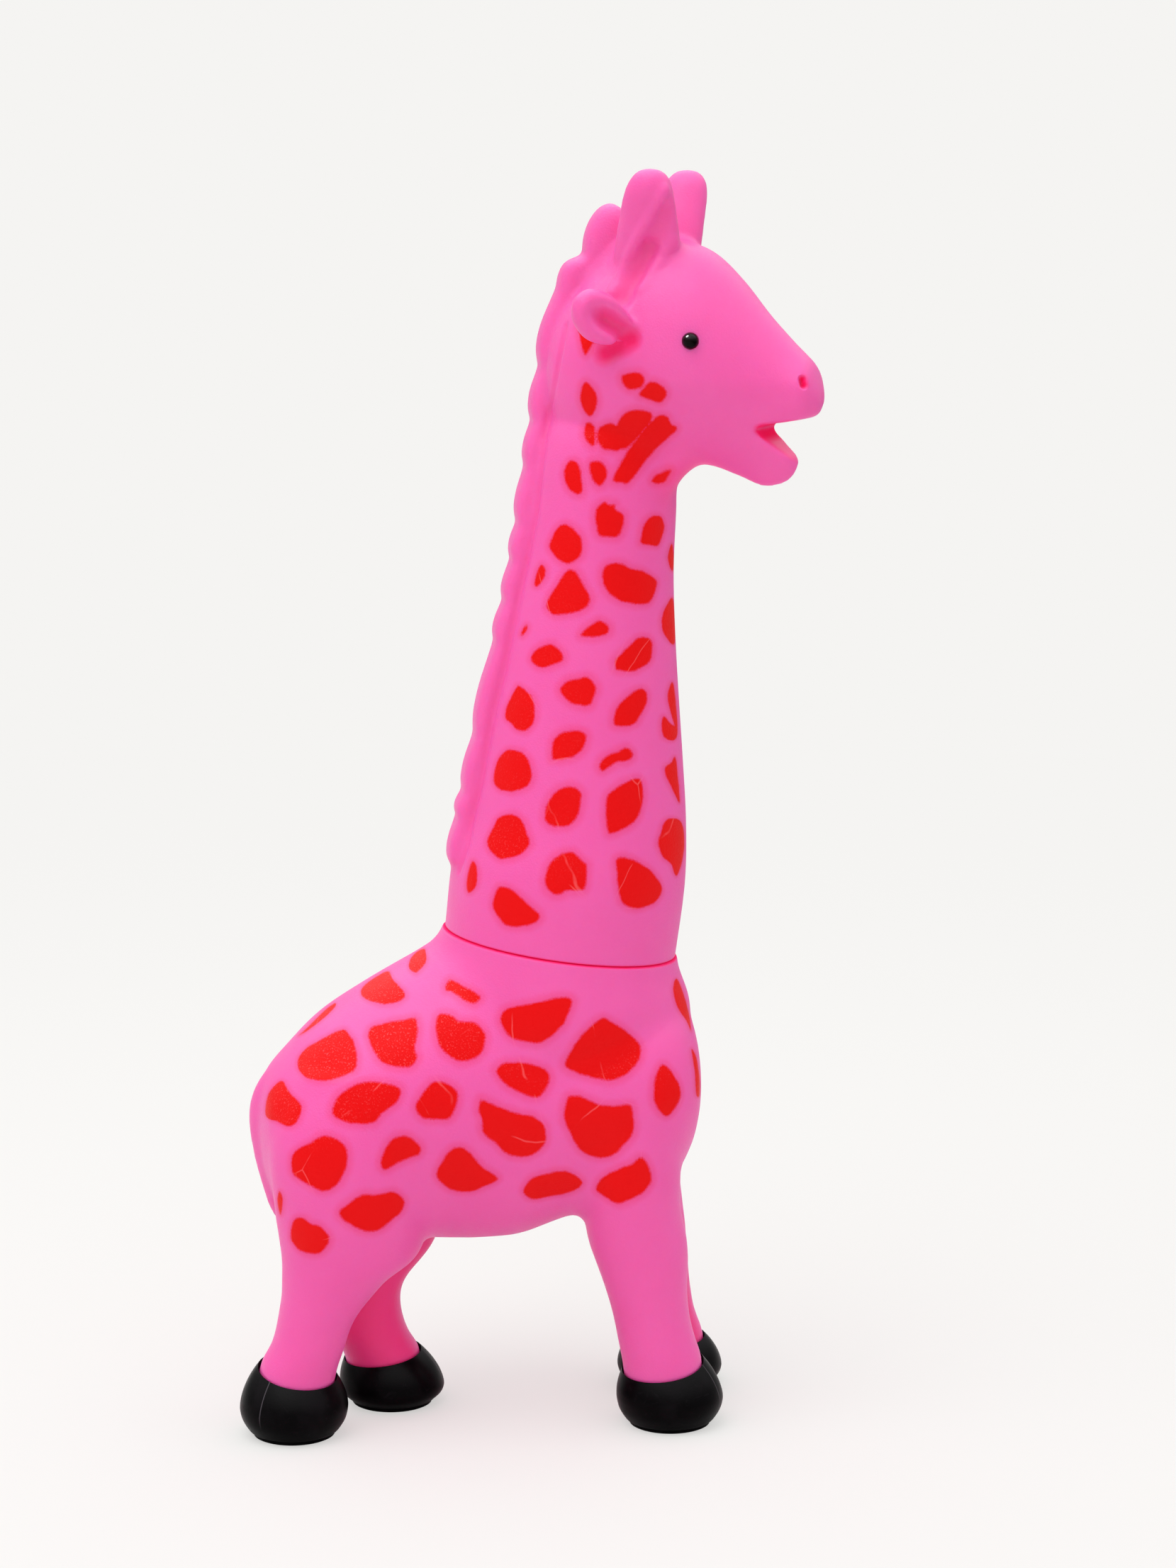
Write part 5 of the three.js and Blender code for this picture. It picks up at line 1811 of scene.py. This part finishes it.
@dataclass
class HoofSet:
    """The four black boots on the ends of the legs."""

    sole_radius: float = 9.6
    # rings of the sole and of the ledge on it: height and offset from the sole's radius
    sole: Rows = ((0, -0.4), (0.15, -0.1), (0.4, 0), (1.05, 0))
    ledge: Rows = ((1.2, 0.7), (1.5, 1.0))
    belly: float = 0.6
    setback: float = 0.4
    socket_floor: float = 8.9
    # how late a hoof shifts and narrows to the ankle, its rings' heights, its lip's width and drop
    slope: Span = (1.4, 1.9)
    shares: Row = (0, 0.2, 0.4, 0.6, 0.8, 0.95, 1)
    tilt_most: float = 1.2
    lip: Span = (0.12, -0.05)
    crease_angle: float = 45.0

    def form(self, leg: Leg) -> bpy.types.Object:
        """Models one hoof: a bell with an undercut sole and a sunk top for the leg.

        Args:
            leg: Which leg it is on.

        Returns:
            The hoof, in the sculptor's frame.
        """
        made = LEG_SET[leg]
        rx, ry, rim, along, across, lean = made.ankle
        x, y, radius = made.hoof
        widest = made.widest

        def ring(share: float) -> Row:
            """A ring of the slope, from the widest place, 0, to the rim, 1."""
            shift, size = (share**power for power in self.slope)
            sizes = (radius + (end + self.setback - radius) * size for end in (along, across))
            return (x + (rx - x) * shift, y + (ry - y) * shift, widest + (rim - widest) * share,
                    *sizes, lean * share)

        def disc(z: float, size: float) -> Row:
            """A level ring over the middle of the sole."""
            return (x, y, z, size, size, 0)

        sole, ledge = (
            [disc(z, self.sole_radius + wider) for z, wider in rows]
            for rows in (self.sole, self.ledge))
        belly = disc((ledge[0][2] + widest) / 2, radius - self.belly)
        bell = glide([*ledge, belly, *map(ring, self.shares)], HOOF_PITCH)
        hoof = loft(f"hoof_{leg.value}_vinyl", np.vstack([sole, bell]), sides=72)
        points = points_of(hoof)
        share = np.clip((points[:, 2] - widest) / (rim - widest), 0, self.tilt_most)
        points[:, 2] += made.tilt * (points[:, 1] - ry) * share
        move_points(hoof, points)
        caps = [face for face in hoof.data.polygons if len(face.vertices) > 4]
        edit_faces(hoof, [max(caps, key=lambda face: face.center.z).index])
        bpy.ops.mesh.inset(thickness=self.lip[0], depth=self.lip[1])
        bpy.ops.mesh.extrude_region_move(TRANSFORM_OT_translate={"value": (0, 0, -1.0)})
        bpy.ops.transform.resize(value=(1, 1, 0), center_override=(rx, ry, self.socket_floor))
        bpy.ops.object.mode_set(mode="OBJECT")
        turn = math.radians(made.parting)
        off_line = [-math.sin(turn), math.cos(turn), 0]
        mark(hoof, "parting", (points_of(hoof) - [x, y, 0]) @ off_line)
        return hoof

    def dress(self, finish: bpy.types.Material) -> None:
        """Builds and settles the four hooves.

        Args:
            finish: The black vinyl.
        """
        for leg in Leg:
            hoof = self.form(leg)
            smooth_faces(hoof, self.crease_angle)
            settle(hoof, finish, "body", f"hoof_{leg.value}")


@dataclass
class BeadEyes:
    """Two black beads on shanks, pushed into the head."""

    x: float = 25.8
    y: float = 15.2
    z: float = 255.6
    radius: float = 1.8
    yaw: float = 20.0
    shank_radius: float = 1.0
    shank_length: float = 4.5
    crown: float = 89.0
    rings: int = 22
    crease_angle: float = 60.0

    def spot(self, side: Side) -> Vector:
        """The middle of a bead, in the head's frame."""
        return Vector((self.x, side.value * self.y, self.z))

    def form(self, side: Side, room: float = 0.0) -> bpy.types.Object:
        """Models one bead, or its socket.

        Args:
            side: The eye's side of the head.
            room: The clearance all round, for a socket.

        Returns:
            The bead on its shank, in the toy's frame.
        """
        ball = self.radius + room
        shank = self.shank_radius + room
        neck = -math.sqrt(ball**2 - shank**2)
        rings = [(0, 0, -self.shank_length - room, shank, shank, 0),
                 (0, 0, neck - LEAST_RING, shank, shank, 0)]
        for turn in np.linspace(math.asin(neck / ball), math.radians(self.crown), self.rings):
            size = ball * math.cos(turn)
            rings.append((0, 0, ball * math.sin(turn), size, size, 0))
        bead = loft(f"bead_eye_{side.name.lower()}", rings, sides=40)
        outward = Matrix.Rotation(math.radians(-90 * side.value), 4, "X")
        yaw = Matrix.Rotation(math.radians(-side.value * self.yaw), 4, "Z")
        spot = Matrix.Translation(self.spot(side))
        return place(bead, HEAD.matrix @ spot @ yaw @ outward)

    def dress(self, finish: bpy.types.Material) -> None:
        """Builds and settles both beads.

        Args:
            finish: The bead's plastic.
        """
        for side in Side:
            bead = self.form(side)
            smooth_faces(bead, self.crease_angle)
            settle(bead, finish, "neck", f"eye_{side.name.lower()}")


@dataclass
class Squeaker:
    """The squeaker in the belly, kept as it is in the solids."""

    plastic_nodes: tuple[str, ...] = ("squeaker_cup", "squeaker_reed_plate")
    film_nodes: tuple[str, ...] = ("squeaker_reed",)

    def dress(self, plastic: bpy.types.Material, film: bpy.types.Material) -> None:
        """Gives the squeaker's solids their finishes.

        Args:
            plastic: For the cup and its plate.
            film: For the strip.
        """
        for names, finish in ((self.plastic_nodes, plastic), (self.film_nodes, film)):
            for name in names:
                for slot in frame["nodes"][name].material_slots:
                    slot.material = finish
                LOG.info("%s: dressed in %s", name, finish.name)


@dataclass
class Studio:
    """A pale table, soft light from above and the photograph's camera."""

    table_colour: str = "#EEEDEB"
    far_colour: str = "#F5F4F2"
    table_radius: float = 6.0
    fade_from: float = 0.2
    fade_to: float = 1.0
    lit_share: float = 0.58
    # the room's light by the height of the way to it, and what gloss sees instead
    zenith: float = 1.05
    horizon: float = 0.58
    room_rise: Span = (-0.1, 0.9)
    gloss_front: float = 0.7
    gloss_back: float = 0.55
    gloss_depth: Span = (-0.1, 0.7)
    gloss_high: float = 4.6
    gloss_rise: Span = (0.2, 0.95)
    dusk: float = 0.2
    dusk_run: Span = (0.05, 0.5)
    # lamps: place, width and power; the height that they are aimed at
    softbox: Row = (-0.4, -0.4, 1.3, 1.1, 6.6)
    glint: Row = (-0.78, 0.14, 1.5, 0.8, 200.0)
    lamp_aim: float = 0.12

    def table(self) -> None:
        """Makes the table, which fades into the background away from the toy."""
        deselect()
        bpy.ops.mesh.primitive_circle_add(
            vertices=96, radius=self.table_radius, fill_type="NGON", location=(0, 0, 0))
        top = bpy.context.object
        top.name = "table"
        made = new_material("laminate_matt_white")
        tree = made.node_tree
        # Matt white laminate: it shows nothing but the soft shadow.
        at = add_node(tree, "ShaderNodeTexCoord").outputs["Object"]
        away = add_node(tree, "ShaderNodeVectorMath", {0: at}, operation="LENGTH")
        fade = add_node(tree, "ShaderNodeMapRange", {
            "Value": away.outputs["Value"], "From Min": self.fade_from, "From Max": self.fade_to,
            "To Min": self.lit_share}, interpolation_type="SMOOTHSTEP")
        path = add_node(tree, "ShaderNodeLightPath")
        shown = add_node(tree, "ShaderNodeMath", {
            0: fade.outputs[0], 1: path.outputs["Is Camera Ray"]}, operation="MULTIPLY")
        matt = add_node(tree, "ShaderNodeBsdfDiffuse", {"Color": hex_linear(self.table_colour)})
        # Gloss sees the table fade into a dim room ahead of the toy.
        ahead = add_node(tree, "ShaderNodeMapRange", {
            "Value": add_node(tree, "ShaderNodeSeparateXYZ", {0: at}).outputs["X"],
            "From Min": self.dusk_run[0], "From Max": self.dusk_run[1]})
        dim = add_node(tree, "ShaderNodeMath", {
            0: ahead.outputs[0], 1: path.outputs["Is Glossy Ray"]}, operation="MULTIPLY")
        mixed = matt
        for share, strength in ((shown, 1.0), (dim, self.dusk)):
            glow = add_node(tree, "ShaderNodeEmission", {
                "Color": hex_linear(self.far_colour), "Strength": strength})
            mixed = add_node(tree, "ShaderNodeMixShader", {
                0: share.outputs[0], 1: mixed.outputs[0], 2: glow.outputs[0]})
        add_node(tree, "ShaderNodeOutputMaterial", {"Surface": mixed.outputs[0]})
        top.data.materials.append(made)

    def light(self) -> None:
        """Lights the toy with an even room and a large soft lamp overhead."""
        world = bpy.data.worlds.new("studio")
        bpy.context.scene.world = world
        world.use_nodes = True
        tree = world.node_tree
        tree.nodes.clear()
        # The room is bright overhead and dimmer at the sides; the camera sees a pale backdrop.
        way = add_node(tree, "ShaderNodeTexCoord").outputs["Generated"]
        rise = add_node(tree, "ShaderNodeSeparateXYZ", {0: way})
        level = add_node(tree, "ShaderNodeMapRange", {
            "Value": rise.outputs["Z"], "From Min": self.room_rise[0],
            "From Max": self.room_rise[1], "To Min": self.horizon, "To Max": self.zenith},
            interpolation_type="SMOOTHSTEP")
        path = add_node(tree, "ShaderNodeLightPath")
        seen = add_node(tree, "ShaderNodeMath", {
            0: path.outputs["Is Camera Ray"], 1: path.outputs["Is Transmission Ray"]},
            operation="MAXIMUM")
        # Gloss sees a dim room in front, the pale backdrop behind and the light overhead.
        behind = add_node(tree, "ShaderNodeMapRange", {
            "Value": rise.outputs["Y"], "From Min": self.gloss_depth[0],
            "From Max": self.gloss_depth[1], "To Min": self.gloss_front,
            "To Max": self.gloss_back})
        sheen = add_node(tree, "ShaderNodeMapRange", {
            "Value": rise.outputs["Z"], "From Min": self.gloss_rise[0],
            "From Max": self.gloss_rise[1], "To Min": behind.outputs[0],
            "To Max": self.gloss_high}, interpolation_type="SMOOTHSTEP")
        strength = add_node(tree, "ShaderNodeMix", {
            0: path.outputs["Is Glossy Ray"], 2: level.outputs[0], 3: sheen.outputs[0]})
        room = add_node(tree, "ShaderNodeBackground", {
            "Color": (1, 1, 1, 1), "Strength": strength.outputs[0]})
        backdrop = add_node(tree, "ShaderNodeBackground", {
            "Color": hex_linear(self.far_colour), "Strength": 1.0})
        mixed = add_node(tree, "ShaderNodeMixShader", {
            0: seen.outputs[0], 1: room.outputs[0], 2: backdrop.outputs[0]})
        add_node(tree, "ShaderNodeOutputWorld", {"Surface": mixed.outputs[0]})
        for name, (x, y, z, size, power) in (("softbox", self.softbox), ("glint", self.glint)):
            deselect()
            bpy.ops.object.light_add(type="AREA", location=(x, y, z))
            lamp = bpy.context.object
            lamp.name = name
            lamp.data.shape = "DISK"
            lamp.data.size = size
            lamp.data.energy = power
            beam = Vector((0, 0, self.lamp_aim)) - lamp.location
            lamp.rotation_euler = beam.to_track_quat("-Z", "Y").to_euler()
        # The small lamp only makes the bright points on the beads.
        beads = bpy.data.collections.new("beads")
        for obj in bpy.context.scene.objects:
            if obj.name.startswith("bead_eye"):
                beads.objects.link(obj)
        lamp.light_linking.receiver_collection = beads

    def camera(self) -> None:
        """Sets up the photograph's camera."""
        eye = Vector(PHOTO.eye) / MM_IN_METRE + frame_offset()
        aim = Vector(PHOTO.aim) / MM_IN_METRE + frame_offset()
        deselect()
        bpy.ops.object.camera_add(location=eye)
        camera = bpy.context.object
        camera.name = "photograph"
        camera.rotation_euler = (aim - eye).to_track_quat("-Z", "Y").to_euler()
        camera.data.lens = PHOTO.lens
        camera.data.sensor_width = PHOTO.sensor
        bpy.context.scene.camera = camera

    def build(self) -> None:
        """Sets the stage."""
        self.table()
        self.light()
        self.camera()
        bpy.context.scene.view_settings.view_transform = "Standard"


def main() -> None:
    """Builds the toy piece by piece and sets the stage."""
    logging.basicConfig(level=logging.INFO, format="%(name)s: %(message)s")
    pink = PinkVinyl().material()
    BodyCasting().dress(pink)
    NeckHeadCasting().dress(pink)
    HoofSet().dress(BlackVinyl().material())
    BeadEyes().dress(BEAD.material())
    Squeaker().dress(CUP_PLASTIC.material(), REED_FILM.material())
    Studio().build()


if __name__ == "__main__":
    main()
